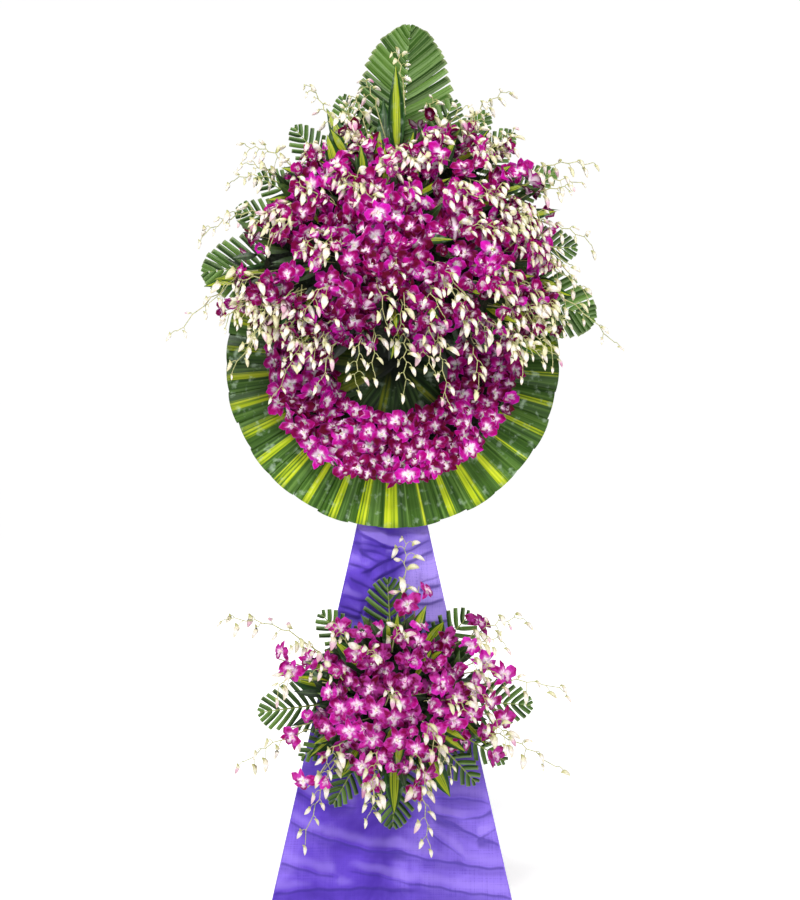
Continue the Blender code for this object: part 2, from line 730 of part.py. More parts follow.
def striped_leaf(name, centre, foam, levels, bend_back, row, finish, face):
    """A strap leaf folded along its rib, widest at two thirds of its length."""
    tip_u, tip_v, width, level = row
    du, dv = tip_u - centre[0], tip_v - centre[1]
    full = math.hypot(du, dv)
    along = (du / full, dv / full)
    start = foam_seat(centre, foam, tip_u, tip_v, 0.004)
    front, back = [], []
    stations = 7
    for index in range(stations):
        t = index / (stations - 1)
        distance = start + (full - start) * t
        half = max(0.0012, 0.004 * (1 - t) + 0.48 * width * math.sin(math.pi * t ** 1.2))
        bend = bend_back * ((distance - start) / 0.40) ** 2
        for off, lift in ((-half, -0.10 * half), (0.0, 0.0), (half, -0.10 * half)):
            w = levels[level] - bend + lift
            spot = (centre[0] + along[0] * distance - along[1] * off,
                    centre[1] + along[1] * distance + along[0] * off)
            front.append(on_face(*spot, w + 0.0006))
            back.append(on_face(*spot, w - 0.0006))
    faces = []
    for index in range(stations - 1):
        for column in range(2):
            corner = index * 3 + column
            faces.append((corner, corner + 3, corner + 4, corner + 1))
    points, closed = slab(front, back, faces)
    place(name, points, closed, finish, face)


def make_foam(name, centre, sizes, finish, face, round_by=0.008):
    half_u, half_v, back, front = sizes
    points, faces = box_block(half_u, half_v, back, front, centre)
    if round_by:
        bevelled(place(name, points, faces, finish, face), round_by)
    else:
        place(name, points, faces, finish, face)


def centre_on_floor(stand):
    """Move the whole object so that the origin is under the middle of its outline."""
    bpy.context.view_layer.update()
    graph = bpy.context.evaluated_depsgraph_get()
    spots = []
    for item in bpy.data.objects:
        if item.type == "MESH":
            shown = item.evaluated_get(graph)
            spots.extend(shown.matrix_world @ corner.co for corner in shown.data.vertices)
    for axis in (0, 1):
        values = [spot[axis] for spot in spots]
        stand.location[axis] = -0.5 * (min(values) + max(values))


def main():
    clear_scene()
    finishes = make_finishes()
    stand = bpy.data.objects.new("stand", None)
    face = bpy.data.objects.new("wreath_face", None)
    bpy.context.collection.objects.link(stand)
    bpy.context.collection.objects.link(face)
    face.parent = stand
    face.rotation_euler = (-LEAN, 0, 0)

    make_legs(finishes["wood"], face)
    make_crossbars(finishes["wood"], face)
    rear = make_back_leg(finishes["wood"], stand)
    make_stretcher(finishes["wood"], stand, *rear)
    make_cloth("skirt_cloth", SKIRT_SPAN, skirt_fold, 11, finishes["violet_cloth"], face)
    make_cloth("neck_cloth", NECK_SPAN, neck_fold, 6, finishes["violet_cloth"], face)

    make_board(finishes["board"], face)
    make_fan(finishes["striped_leaf"], face)
    make_ring_foam(finishes["foam"], face)
    make_ring_blooms(finishes["orchid"], face)

    make_foam("upper_foam", UPPER, UPPER_FOAM, finishes["foam"], face)
    make_foam("lower_foam", LOWER, LOWER_FOAM, finishes["foam"], face)
    make_foam("lower_tray", LOWER, LOWER_TRAY, finishes["tray"], face, 0)
    make_head("upper_orchid_head", UPPER, UPPER_CORE, UPPER_BLOOMS, (0.028, 0.058),
              UPPER_SPRAYS, 3, finishes["orchid"], face)
    make_head("lower_orchid_head", LOWER, LOWER_CORE, LOWER_BLOOMS, (0.028, 0.080),
              LOWER_SPRAYS, 5, finishes["orchid"], face)

    for kind, centre, foam, levels, bend_back, fronds, leaves in (
            ("upper", UPPER, UPPER_FOAM, UPPER_LEVELS, UPPER_BEND, UPPER_FRONDS, UPPER_LEAVES),
            ("lower", LOWER, LOWER_FOAM, LOWER_LEVELS, LOWER_BEND, LOWER_FRONDS, LOWER_LEAVES)):
        for index, row in enumerate(fronds):
            frond(f"{kind}_frond_{index + 1}", centre, foam, levels, bend_back, row,
                  finishes["frond"], face)
        for index, row in enumerate(leaves):
            striped_leaf(f"{kind}_leaf_{index + 1}", centre, foam, levels, bend_back, row,
                         finishes["striped_leaf"], face)
    centre_on_floor(stand)


main()
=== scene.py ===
"""Looks of the standing funeral wreath: orchid sprays, palm fronds, striped leaves,
wrapped cloth and battens, each laid over its solid.

Places on the wreath's leaning face are given as u to the right, v up the face from
the floor line and w out of it towards the viewer, in metres.
"""

import math

import bmesh
import bpy
import numpy as np
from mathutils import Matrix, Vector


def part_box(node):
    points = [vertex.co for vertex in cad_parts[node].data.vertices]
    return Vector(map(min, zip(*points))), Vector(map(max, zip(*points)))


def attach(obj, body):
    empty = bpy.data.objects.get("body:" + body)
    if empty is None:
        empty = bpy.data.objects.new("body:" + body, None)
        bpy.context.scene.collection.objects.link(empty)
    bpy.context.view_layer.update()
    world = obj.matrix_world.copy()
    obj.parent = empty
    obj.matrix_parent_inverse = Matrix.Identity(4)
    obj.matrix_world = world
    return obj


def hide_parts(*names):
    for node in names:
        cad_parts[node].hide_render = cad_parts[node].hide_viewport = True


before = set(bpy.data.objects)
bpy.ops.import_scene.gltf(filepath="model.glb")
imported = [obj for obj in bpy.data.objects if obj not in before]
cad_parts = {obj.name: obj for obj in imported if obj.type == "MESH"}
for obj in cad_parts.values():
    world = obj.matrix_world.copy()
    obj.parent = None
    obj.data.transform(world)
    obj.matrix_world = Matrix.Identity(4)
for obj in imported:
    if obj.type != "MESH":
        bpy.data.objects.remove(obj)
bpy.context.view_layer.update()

# Leaning face, found again from the backing board's own place.
LEAN = math.radians(6.0)
DISC_V = 1.287
BOARD_W = -0.0063
board_low, board_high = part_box("backing_board")
SHIFT_X = 0.5 * (board_low.x + board_high.x)
SHIFT_Y = (0.5 * (board_low.y + board_high.y)
           - DISC_V * math.sin(LEAN) + BOARD_W * math.cos(LEAN))

# Easel and cloth: the front's half width at the floor line and its loss for each metre
# up, the batten's side, places out of the face, spans up the face, and small sizes.
HALF_SPREAD = 0.284
SPREAD_LOSS = 0.2235
BATTEN = 0.0254
LEG_FRONT = -0.0126
CLOTH_BASE = -0.0108
SKIRT_SPAN = (0.012, 0.6129)
NECK_SPAN = (0.6131, 0.930)
SKIRT_FOLDS_END = 0.385
NECK_FOLDS_END = 1.0
CORNER = 0.003
CLOTH_THICK = 0.0010
EDGE_ROUND = 0.0015

# Fan of leaves, and rosette inside the ring with its leaves' reach from the middle.
DISC = (0.0, DISC_V)
FAN_LEAVES = 34
FAN_PARTS = 4
FAN_RADIUS = 0.398
FAN_INNER = 0.012
ROSETTE_LEAVES = 13
ROSETTE_REACH = (-0.016, 0.147)

# Ring of blooms: middle line, top of the foam, bed, and each row's radius and blooms.
RING_MIDDLE = 0.216
RING_TOP = 0.0455
BED_HEIGHT = 0.0408
BED_HALF_WIDTH = 0.062
RING_ROWS = ((0.158, 17), (0.188, 20), (0.218, 23), (0.248, 27), (0.279, 31))

# Heads: middle; half width, half height, back and depth of the dome; half sizes of the
# foam; depth levels of the foliage; how far a leaf bends back over the bend length; gap
# between a foam block and a leaf's root.
UPPER = (0.0, 1.540)
UPPER_CORE = (0.322, 0.242, 0.100, 0.102)
UPPER_FOAM = (0.150, 0.120)
UPPER_LEVELS = (0.046, 0.060, 0.074, 0.089)
UPPER_BEND = 0.040
LOWER = (0.006, 0.500)
LOWER_CORE = (0.192, 0.168, 0.054, 0.055)
LOWER_HEART = (0.150, 0.130)
LOWER_FOAM = (0.105, 0.085)
LOWER_LEVELS = (0.004, 0.017, 0.030, 0.043)
LOWER_BEND = -0.020
BEND_LENGTH = 0.40
SEAT_GAP = 0.0003

# Thicknesses of leaves and petals, and fronds: distances between leaflets, angles of the
# first and last leaflets in degrees, where the rib ends before the tip, its radii, and
# the half width of a striped leaf's root.
LEAF_THICK = 0.0011
STRAP_THICK = 0.0010
TUFT_THICK = 0.0008
LEAFLET_THICK = 0.0007
PETAL_THICK = 0.0011
BROAD_FROND = 0.2
BROAD_PITCH = 0.0205
FROND_PITCH = 0.0180
LEAFLET_ANGLES = (66, 26)
RIB_SHORT = 0.004
RIB_RADII = (0.0030, 0.0008)
STRAP_ROOT = 0.004

# Amounts of flowers, where they stand, and sizes of their parts.
UPPER_BLOOMS = 510
UPPER_LIFTS = (0.012, 0.030, 0.046)
LOOSE_SPRAYS = 84
BUNCH_SPRAYS = 4
HALF_OPEN_SHARE = 0.66
LOWER_INNER_BLOOMS = 44
LOWER_INNER_REACH = (0.178, 0.158)
STRAY_HEIGHT = 0.125
BLOOM_RADIUS = 0.0335
LOWER_BLOOM_RADIUS = 0.0330
HALF_OPEN_RADIUS = 0.0275
SHUT_ANGLE = 1.1
STEM_RANK = 0.018
BUD_LENGTH = 0.0238
BUD_RADIUS = 0.0066
BUD_STALK = 0.014
STALK_RADIUS = 0.0010
TWIG_RADII = (0.0016, 0.0009)
STEM_RADII = (0.0020, 0.0012)

# Stage: radii of floor and backdrop, lights with place, size and power, and camera.
FLOOR_RADIUS = 14.0
FLOOR_DROP = 0.0005
BACKDROP_RADIUS = 15.0
LIGHTS = (("key_light", (-0.5, -2.7, 4.1), 0.9, 116.0), ("fill_light", (1.5, -3.3, 1.0), 1.8, 20.0))
LIGHT_AIM = (0.0, -0.1, 1.2)
AIR_STRENGTH = 0.36
CAMERA = (0.0184, -3.2, 1.0695)
LENS = 55.65

# Reach of the upper head's blooms round its middle, by angle from the right.
UPPER_REACH = ((0, 0.352), (30, 0.358), (50, 0.318), (66, 0.288), (90, 0.232), (106, 0.238),
               (133, 0.282), (148, 0.278), (169, 0.312), (194, 0.385), (213, 0.345), (240, 0.285),
               (270, 0.215), (300, 0.285), (322, 0.362), (337, 0.392), (360, 0.352))

# Places in the upper head where leaves show between the blooms: u, v and radius.
UPPER_GAPS = (
    (-0.262, 1.655, 0.044), (-0.316, 1.497, 0.034), (-0.262, 1.482, 0.028), (0.285, 1.652, 0.026),
    (-0.362, 1.502, 0.030), (-0.208, 1.468, 0.018), (0.395, 1.400, 0.026), (0.012, 1.765, 0.024),
    (-0.115, 1.752, 0.020), (0.060, 1.690, 0.018), (-0.020, 1.660, 0.016), (0.205, 1.690, 0.020),
    (0.352, 1.446, 0.022), (-0.066, 1.700, 0.026), (0.130, 1.722, 0.024), (0.160, 1.774, 0.020),
    (0.006, 1.786, 0.026), (0.225, 1.600, 0.016), (-0.130, 1.600, 0.014), (0.110, 1.480, 0.014),
    (0.350, 1.745, 0.030), (0.325, 1.778, 0.024), (0.400, 1.600, 0.030), (0.372, 1.636, 0.020),
    (0.440, 1.440, 0.040), (0.405, 1.382, 0.028), (-0.215, 1.748, 0.022), (-0.280, 1.652, 0.034),
    (-0.308, 1.600, 0.026), (-0.370, 1.518, 0.036), (-0.237, 1.500, 0.022), (-0.390, 1.462, 0.026),
)

# Striped leaves tucked between the blooms: root u, v, heading in degrees, length, width.
UPPER_TUCKED = (
    (-0.170, 1.688, 170, 0.085, 0.030), (-0.062, 1.664, 96, 0.085, 0.026),
    (-0.102, 1.735, 122, 0.075, 0.028), (0.104, 1.698, 58, 0.080, 0.034), (0.138, 1.756, 22, 0.065, 0.026),
    (0.232, 1.645, 14, 0.085, 0.026), (0.325, 1.452, -16, 0.070, 0.028), (0.012, 1.735, 91, 0.210, 0.040),
    (-0.300, 1.470, 190, 0.110, 0.036), (-0.020, 1.640, 80, 0.070, 0.030), (0.208, 1.672, 30, 0.075, 0.032),
    (0.060, 1.672, 110, 0.070, 0.028), (-0.125, 1.692, 105, 0.090, 0.034), (0.140, 1.722, 28, 0.080, 0.036),
    (-0.030, 1.706, 88, 0.080, 0.028),
)
LOWER_TUCKED = (
    (-0.055, 0.561, 137, 0.105, 0.046), (-0.115, 0.428, 206, 0.070, 0.028),
    (0.008, 0.618, 86, 0.075, 0.030), (0.050, 0.545, 58, 0.080, 0.030), (0.092, 0.440, -38, 0.095, 0.036),
    (0.020, 0.430, -96, 0.090, 0.030), (-0.060, 0.470, 190, 0.085, 0.030), (0.100, 0.520, 10, 0.090, 0.028),
)

# Places in the lower head where leaves show between the blooms: u, v and radius.
LOWER_GAPS = (
    (-0.168, 0.530, 0.030), (-0.112, 0.592, 0.026), (-0.009, 0.420, 0.022), (0.109, 0.398, 0.022),
    (-0.208, 0.518, 0.022), (-0.045, 0.360, 0.020),
)

# Bunches of short bud sprays over the upper head: middle u, v and heading in degrees.
UPPER_BUNCHES = (
    (-0.229, 1.622, 190), (-0.300, 1.562, 190), (-0.290, 1.388, 235), (-0.212, 1.402, 252),
    (-0.257, 1.665, 165), (0.335, 1.650, 6), (0.235, 1.618, -10), (0.310, 1.568, -25), (0.345, 1.493, -30),
    (0.273, 1.418, -36), (0.336, 1.375, -30), (0.292, 1.340, -42), (0.136, 1.418, -52), (0.236, 1.448, -30),
    (0.066, 1.735, 150), (0.150, 1.790, 55), (0.160, 1.690, -15), (-0.140, 1.742, 150),
    (-0.330, 1.440, 205), (-0.095, 1.798, 120), (0.100, 1.742, 60), (0.205, 1.762, 35),
    (-0.185, 1.722, 150), (0.010, 1.700, 100),
)

# Bud sprays that rise over the top fronds: start u, v, tip u, v, w.
UPPER_RISERS = (
    (-0.015, 1.800, -0.069, 1.948, 0.100), (0.030, 1.860, 0.010, 2.026, 0.095),
    (-0.045, 1.770, -0.092, 1.905, 0.110), (0.070, 1.800, 0.100, 1.900, 0.105),
    (0.262, 1.655, 0.440, 1.690, 0.120), (0.275, 1.500, 0.455, 1.420, 0.130),
    (-0.215, 1.660, -0.372, 1.700, 0.120),
)

# Single blooms past the upper mound: u and v.
UPPER_STRAYS = (
    (-0.337, 1.519), (-0.368, 1.414), (-0.386, 1.387), (-0.240, 1.707), (-0.194, 1.748), (0.062, 1.823),
    (0.089, 1.857), (0.317, 1.707), (0.323, 1.586), (0.361, 1.427), (0.372, 1.347), (-0.345, 1.399),
    (-0.301, 1.418), (0.174, 1.788), (0.299, 1.719), (-0.052, 1.792), (-0.061, 1.763), (0.271, 1.768),
)

# Fronds: tip u, v, full width and depth level.
UPPER_FRONDS = (
    (0.045, 2.130, 0.230, 0), (-0.122, 1.935, 0.105, 1), (-0.238, 1.850, 0.100, 2),
    (-0.328, 1.736, 0.100, 0), (-0.376, 1.647, 0.105, 1), (-0.453, 1.493, 0.175, 2),
    (0.150, 1.925, 0.115, 1), (0.228, 1.888, 0.100, 2), (0.293, 1.848, 0.100, 0),
    (0.394, 1.746, 0.095, 1), (0.442, 1.554, 0.120, 2), (0.488, 1.389, 0.185, 0),
)
LOWER_FRONDS = (
    (-0.012, 0.774, 0.125, 0), (-0.169, 0.692, 0.085, 1), (-0.313, 0.460, 0.120, 0),
    (0.187, 0.692, 0.105, 1), (0.329, 0.476, 0.110, 0), (0.266, 0.348, 0.070, 1),
    (0.196, 0.300, 0.075, 2), (0.002, 0.194, 0.120, 0), (-0.138, 0.248, 0.080, 1),
    (-0.214, 0.357, 0.060, 2),
)

# Striped leaves: tip u, v, width, depth level and tone; the yellow band is lost at 1.6.
UPPER_LEAVES = (
    (0.011, 1.997, 0.036, 3, 0.3), (-0.022, 1.918, 0.040, 2, 1.7), (-0.157, 1.888, 0.044, 3, 0.5),
    (0.235, 1.843, 0.040, 3, 1.2), (-0.444, 1.457, 0.052, 3, 0.5), (0.426, 1.433, 0.050, 3, 0.7),
    (0.401, 1.332, 0.044, 3, 0.6), (0.345, 1.290, 0.040, 3, 0.9),
)
LOWER_LEAVES = (
    (-0.240, 0.544, 0.050, 3, 0.6), (-0.157, 0.606, 0.046, 2, 1.0), (-0.119, 0.316, 0.050, 3, 0.4),
    (0.005, 0.233, 0.044, 2, 0.5), (0.133, 0.273, 0.042, 3, 0.4), (0.120, 0.670, 0.040, 3, 0.2),
)

# Bud sprays that reach past the heads: start u, v, tip u, v, w.
UPPER_SPRAYS = (
    (-0.110, 1.740, -0.201, 1.931, 0.115), (-0.200, 1.690, -0.343, 1.777, 0.120),
    (-0.240, 1.610, -0.439, 1.565, 0.130), (-0.250, 1.480, -0.491, 1.332, 0.150),
    (-0.200, 1.400, -0.366, 1.239, 0.160), (-0.140, 1.380, -0.262, 1.186, 0.170),
    (-0.060, 1.370, -0.083, 1.205, 0.190), (0.030, 1.370, 0.030, 1.190, 0.190),
    (0.090, 1.380, 0.125, 1.165, 0.185), (0.160, 1.390, 0.200, 1.200, 0.175),
    (0.240, 1.470, 0.509, 1.307, 0.140), (0.250, 1.580, 0.462, 1.546, 0.130),
    (0.230, 1.650, 0.465, 1.735, 0.120), (0.120, 1.730, 0.269, 1.914, 0.115),
)
LOWER_SPRAYS = (
    (-0.120, 0.570, -0.381, 0.677, 0.080), (-0.120, 0.430, -0.333, 0.355, 0.090),
    (-0.100, 0.400, -0.196, 0.187, 0.110), (-0.020, 0.370, -0.047, 0.243, 0.110),
    (0.050, 0.380, 0.083, 0.176, 0.110), (0.120, 0.500, 0.393, 0.516, 0.090),
    (0.120, 0.430, 0.370, 0.344, 0.090), (0.110, 0.580, 0.294, 0.679, 0.080),
    (0.030, 0.630, 0.030, 0.859, 0.075),
)

# Short bud sprays over the lower head: start u, v and tip u, v.
LOWER_BUDS = (
    (-0.090, 0.597, -0.131, 0.658), (-0.140, 0.559, -0.208, 0.626), (0.000, 0.603, 0.023, 0.658),
    (-0.095, 0.518, -0.167, 0.568), (0.064, 0.452, 0.108, 0.382), (0.109, 0.496, 0.171, 0.470),
    (0.143, 0.518, 0.212, 0.497), (0.159, 0.568, 0.226, 0.559), (0.086, 0.396, 0.135, 0.338),
    (-0.027, 0.396, -0.044, 0.298), (-0.105, 0.407, -0.156, 0.338), (0.045, 0.396, 0.081, 0.298),
    (0.177, 0.597, 0.245, 0.631), (-0.015, 0.485, 0.009, 0.519), (-0.072, 0.568, -0.036, 0.608),
    (-0.208, 0.541, -0.256, 0.519), (0.199, 0.463, 0.254, 0.413),
)

# Flower stems of the lower head: start u, v, end u, v and number of open blooms.
LOWER_STEMS = (
    (0.030, 0.560, 0.062, 0.752, 5), (-0.030, 0.560, -0.105, 0.668, 4),
    (-0.100, 0.540, -0.262, 0.588, 5), (-0.060, 0.520, -0.225, 0.545, 4),
    (-0.080, 0.470, -0.236, 0.430, 4), (-0.060, 0.440, -0.190, 0.300, 5),
    (-0.020, 0.430, -0.062, 0.312, 4), (0.020, 0.440, 0.070, 0.290, 5),
    (0.070, 0.460, 0.244, 0.390, 5), (0.080, 0.500, 0.262, 0.470, 5),
    (0.080, 0.540, 0.258, 0.570, 5), (0.060, 0.580, 0.215, 0.655, 4),
    (-0.020, 0.510, -0.120, 0.500, 3), (0.000, 0.540, 0.110, 0.610, 4),
    (-0.010, 0.500, 0.120, 0.520, 4), (0.000, 0.470, -0.110, 0.440, 3),
)


# Places and meshes
def on_face(spots):
    """Row-frame points of places u, v, w: the face is turned back by the lean, so
    y is v sin - w cos and z is v cos + w sin, both moved with the board."""
    u, v, w = spots[..., 0], spots[..., 1], spots[..., 2]
    return np.stack([u + SHIFT_X, v * math.sin(LEAN) - w * math.cos(LEAN) + SHIFT_Y,
                     v * math.cos(LEAN) + w * math.sin(LEAN)], -1)


def unit(vectors):
    """Vectors of the same directions with length 1."""
    return vectors / (np.linalg.norm(vectors, axis=-1, keepdims=True) + 1e-12)


def around(middle, angle, wide, high, w):
    """Places round a middle on the face: its u plus wide times the angle's cosine and
    its v plus high times its sine, at a height w."""
    return np.stack(np.broadcast_arrays(middle[0] + wide * np.cos(angle),
                                        middle[1] + high * np.sin(angle), w), -1)


def beside(middle, way, distance, off, w):
    """Places at a distance from a middle along a direction on the face and off to the
    left of that line, at a height w."""
    return np.stack(np.broadcast_arrays(middle[0] + way[0] * distance - way[1] * off,
                                        middle[1] + way[1] * distance + way[0] * off, w), -1)


def ray(angle, size=1.0, out=0.0):
    """Directions of a size in the face's plane at angles from the right, with a part
    that leads out of the face."""
    return np.stack([size * np.cos(angle), size * np.sin(angle), out + 0 * angle], -1)


def blades(middle, thickness, **tags):
    """Closed thin blades from middle sheets of rows along and points across. Each
    side is the sheet moved half its thickness along its normal, which is across
    turned into along, and both sides share the sheet's border. The tags are numbers
    over the sheet that follow its points, and side is 1 in front and -1 behind."""
    count, along, across = middle.shape[:3]
    normal = unit(np.cross(np.gradient(middle, axis=2), np.gradient(middle, axis=1)))
    lift = np.zeros(middle.shape[:3])
    lift[:, 1:-1, 1:-1] = 0.5 * np.broadcast_to(thickness, lift.shape)[:, 1:-1, 1:-1]
    front = middle + normal * lift[..., None]
    back = (middle - normal * lift[..., None])[:, 1:-1, 1:-1]
    points = np.concatenate([front.reshape(count, -1, 3), back.reshape(count, -1, 3)], 1)
    grid = np.arange(along * across).reshape(along, across)
    under = grid.copy()
    under[1:-1, 1:-1] = along * across + np.arange((along - 2) * (across - 2)).reshape(
        along - 2, across - 2)

    def quads(cells):
        corners = [cells[:-1, :-1], cells[:-1, 1:], cells[1:, 1:], cells[1:, :-1]]
        return np.stack(corners, -1).reshape(-1, 4)

    faces = np.concatenate([quads(grid), quads(under)[:, ::-1]])
    size = points.shape[1]
    quad = (faces[None] + (np.arange(count) * size)[:, None, None]).reshape(-1, 4)
    carried = {}
    for name, values in tags.items():
        values = np.broadcast_to(values, (count, along, across))
        carried[name] = np.concatenate(
            [values.reshape(count, -1), values[:, 1:-1, 1:-1].reshape(count, -1)], 1).ravel()
    side = np.zeros((count, size))
    side[:, :along * across] = (lift > 0).reshape(count, -1)
    side[:, along * across:] = -1
    carried["side"] = side.ravel()
    return {"points": points.reshape(-1, 3), "quads": quad, "tags": carried}


def tubes(paths, radii, sides, upright=(0.13, 0.97, 0.21), flat=1.0, **tags):
    """Closed round bodies along paths: at each point of a path a ring of the given
    radius square to the path, flattened by a share in its second direction, and one
    point at both ends."""
    count, along = paths.shape[:2]
    run = unit(np.gradient(paths, axis=1))
    first = unit(np.cross(run, np.asarray(upright)))
    second = np.cross(run, first) * flat
    angle = 2 * np.pi * np.arange(sides) / sides
    ring = (np.cos(angle)[None, None, :, None] * first[:, :, None]
            + np.sin(angle)[None, None, :, None] * second[:, :, None])
    points = paths[:, :, None] + np.broadcast_to(radii, (count, along))[..., None, None] * ring
    points = np.concatenate([points.reshape(count, -1, 3), paths[:, :1], paths[:, -1:]], 1)
    cells = np.arange(along * sides).reshape(along, sides)
    after = np.roll(cells, -1, axis=1)
    walls = np.stack([cells[:-1], after[:-1], after[1:], cells[1:]], -1).reshape(-1, 4)
    ends = along * sides
    start = np.stack([np.full(sides, ends), after[0], cells[0]], -1)
    stop = np.stack([np.full(sides, ends + 1), cells[-1], after[-1]], -1)
    caps = np.concatenate([start, stop])
    step = (np.arange(count) * points.shape[1])[:, None, None]
    carried = {}
    for name, values in tags.items():
        values = np.broadcast_to(values, (count, along))
        carried[name] = np.concatenate(
            [np.repeat(values, sides, axis=1), values[:, :1], values[:, -1:]], 1).ravel()
    return {"points": points.reshape(-1, 3), "quads": (walls[None] + step).reshape(-1, 4),
            "tris": (caps[None] + step).reshape(-1, 3), "tags": carried}


def turned(middle, profile, wide, high, segments, rough=0.0, seed=0):
    """A closed oval body round a line square to the face: the profile's shares of
    the half width and half height at each w, the first and last of them closed by a
    point. Three crossed waves of the angle and the row roughen it."""
    share, w = np.array(profile).T
    angle = 2 * np.pi * np.arange(segments) / segments
    rows = np.arange(len(share))[:, None]
    ripple = 1 + rough * (np.sin(5 * angle + 1.3 * rows + seed) * np.sin(9 * angle - 2.1 * rows)
                          + 0.6 * np.sin(17 * angle + 3.7 * rows))
    reach = share[:, None] * ripple
    rings = around(middle, angle, wide * reach, high * reach,
                   w[:, None] + rough * 0.08 * np.sin(7 * angle + rows))
    ends = [[middle[0], middle[1], w[0]], [middle[0], middle[1], w[-1]]]
    points = np.concatenate([rings.reshape(-1, 3), ends])
    cells = np.arange(rings.shape[0] * segments).reshape(-1, segments)
    after = np.roll(cells, -1, axis=1)
    walls = np.stack([cells[:-1], after[:-1], after[1:], cells[1:]], -1).reshape(-1, 4)
    last = cells.size
    caps = np.concatenate([np.stack([np.full(segments, last), after[0], cells[0]], -1),
                           np.stack([np.full(segments, last + 1), cells[-1], after[-1]], -1)])
    return {"points": on_face(points), "quads": walls, "tris": caps, "tags": {}}


def new_object(name, data):
    item = bpy.data.objects.new(name, data)
    bpy.context.scene.collection.objects.link(item)
    return item


def settle(item, slot, *nodes):
    """A piece rides on the root body and stands for its nodes; its slot is not used."""
    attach(item, "root")
    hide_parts(*nodes)


def piece(name, parts, finish, slot, nodes, crease=55):
    """One mesh object of several parts, smooth but for its creases. Points, faces and
    the numbers over the points are joined as whole arrays."""
    points = np.concatenate([part["points"] for part in parts])
    starts = np.cumsum([0] + [len(part["points"]) for part in parts])
    quads = np.concatenate([part["quads"] + start for part, start in zip(parts, starts)])
    tris = [part["tris"] + start for part, start in zip(parts, starts) if "tris" in part]
    tris = np.concatenate(tris) if tris else np.zeros((0, 3), int)
    mesh = bpy.data.meshes.new(name)
    mesh.vertices.add(len(points))
    mesh.vertices.foreach_set("co", points.astype(np.float32).ravel())
    corners = np.concatenate([quads.ravel(), tris.ravel()]).astype(np.int32)
    mesh.loops.add(len(corners))
    mesh.loops.foreach_set("vertex_index", corners)
    begin = np.concatenate([4 * np.arange(len(quads)), 4 * len(quads) + 3 * np.arange(len(tris))])
    mesh.polygons.add(len(begin))
    mesh.polygons.foreach_set("loop_start", begin.astype(np.int32))
    mesh.update(calc_edges=True)
    mesh.polygons.foreach_set("use_smooth", np.ones(len(begin), bool))
    mesh.set_sharp_from_angle(angle=math.radians(crease))
    for tag in sorted({tag for part in parts for tag in part["tags"]}):
        values = [part["tags"].get(tag, np.zeros(len(part["points"]))) for part in parts]
        layer = mesh.attributes.new(tag, "FLOAT", "POINT")
        layer.data.foreach_set("value", np.concatenate(values).astype(np.float32))
    mesh.materials.append(finish)
    item = new_object(name, mesh)
    settle(item, slot, *nodes)
    return item


# Shader writing
def rgb(red, green, blue):
    """Linear colour of screen values from 0 to 255."""
    return tuple((c / 255 / 12.92) if c <= 10 else ((c / 255 + 0.055) / 1.055) ** 2.4
                 for c in (red, green, blue)) + (1.0,)


class Wire:
    """A shader socket that takes part in sums as a number does."""

    def __init__(self, paint, socket):
        self.paint, self.socket = paint, socket

    def _sum(self, operation, first, second):
        return self.paint.add("ShaderNodeMath", {"operation": operation}, {0: first, 1: second})

    def __add__(self, other):
        return self._sum("ADD", self, other)

    def __sub__(self, other):
        return self._sum("SUBTRACT", self, other)

    def __rsub__(self, other):
        return self._sum("SUBTRACT", other, self)

    def __mul__(self, other):
        return self._sum("MULTIPLY", self, other)

    def __abs__(self):
        return self._sum("ABSOLUTE", self, 0)

    __radd__, __rmul__ = __add__, __mul__

    def wave(self):
        """Sine of the value."""
        return self._sum("SINE", self, 0)


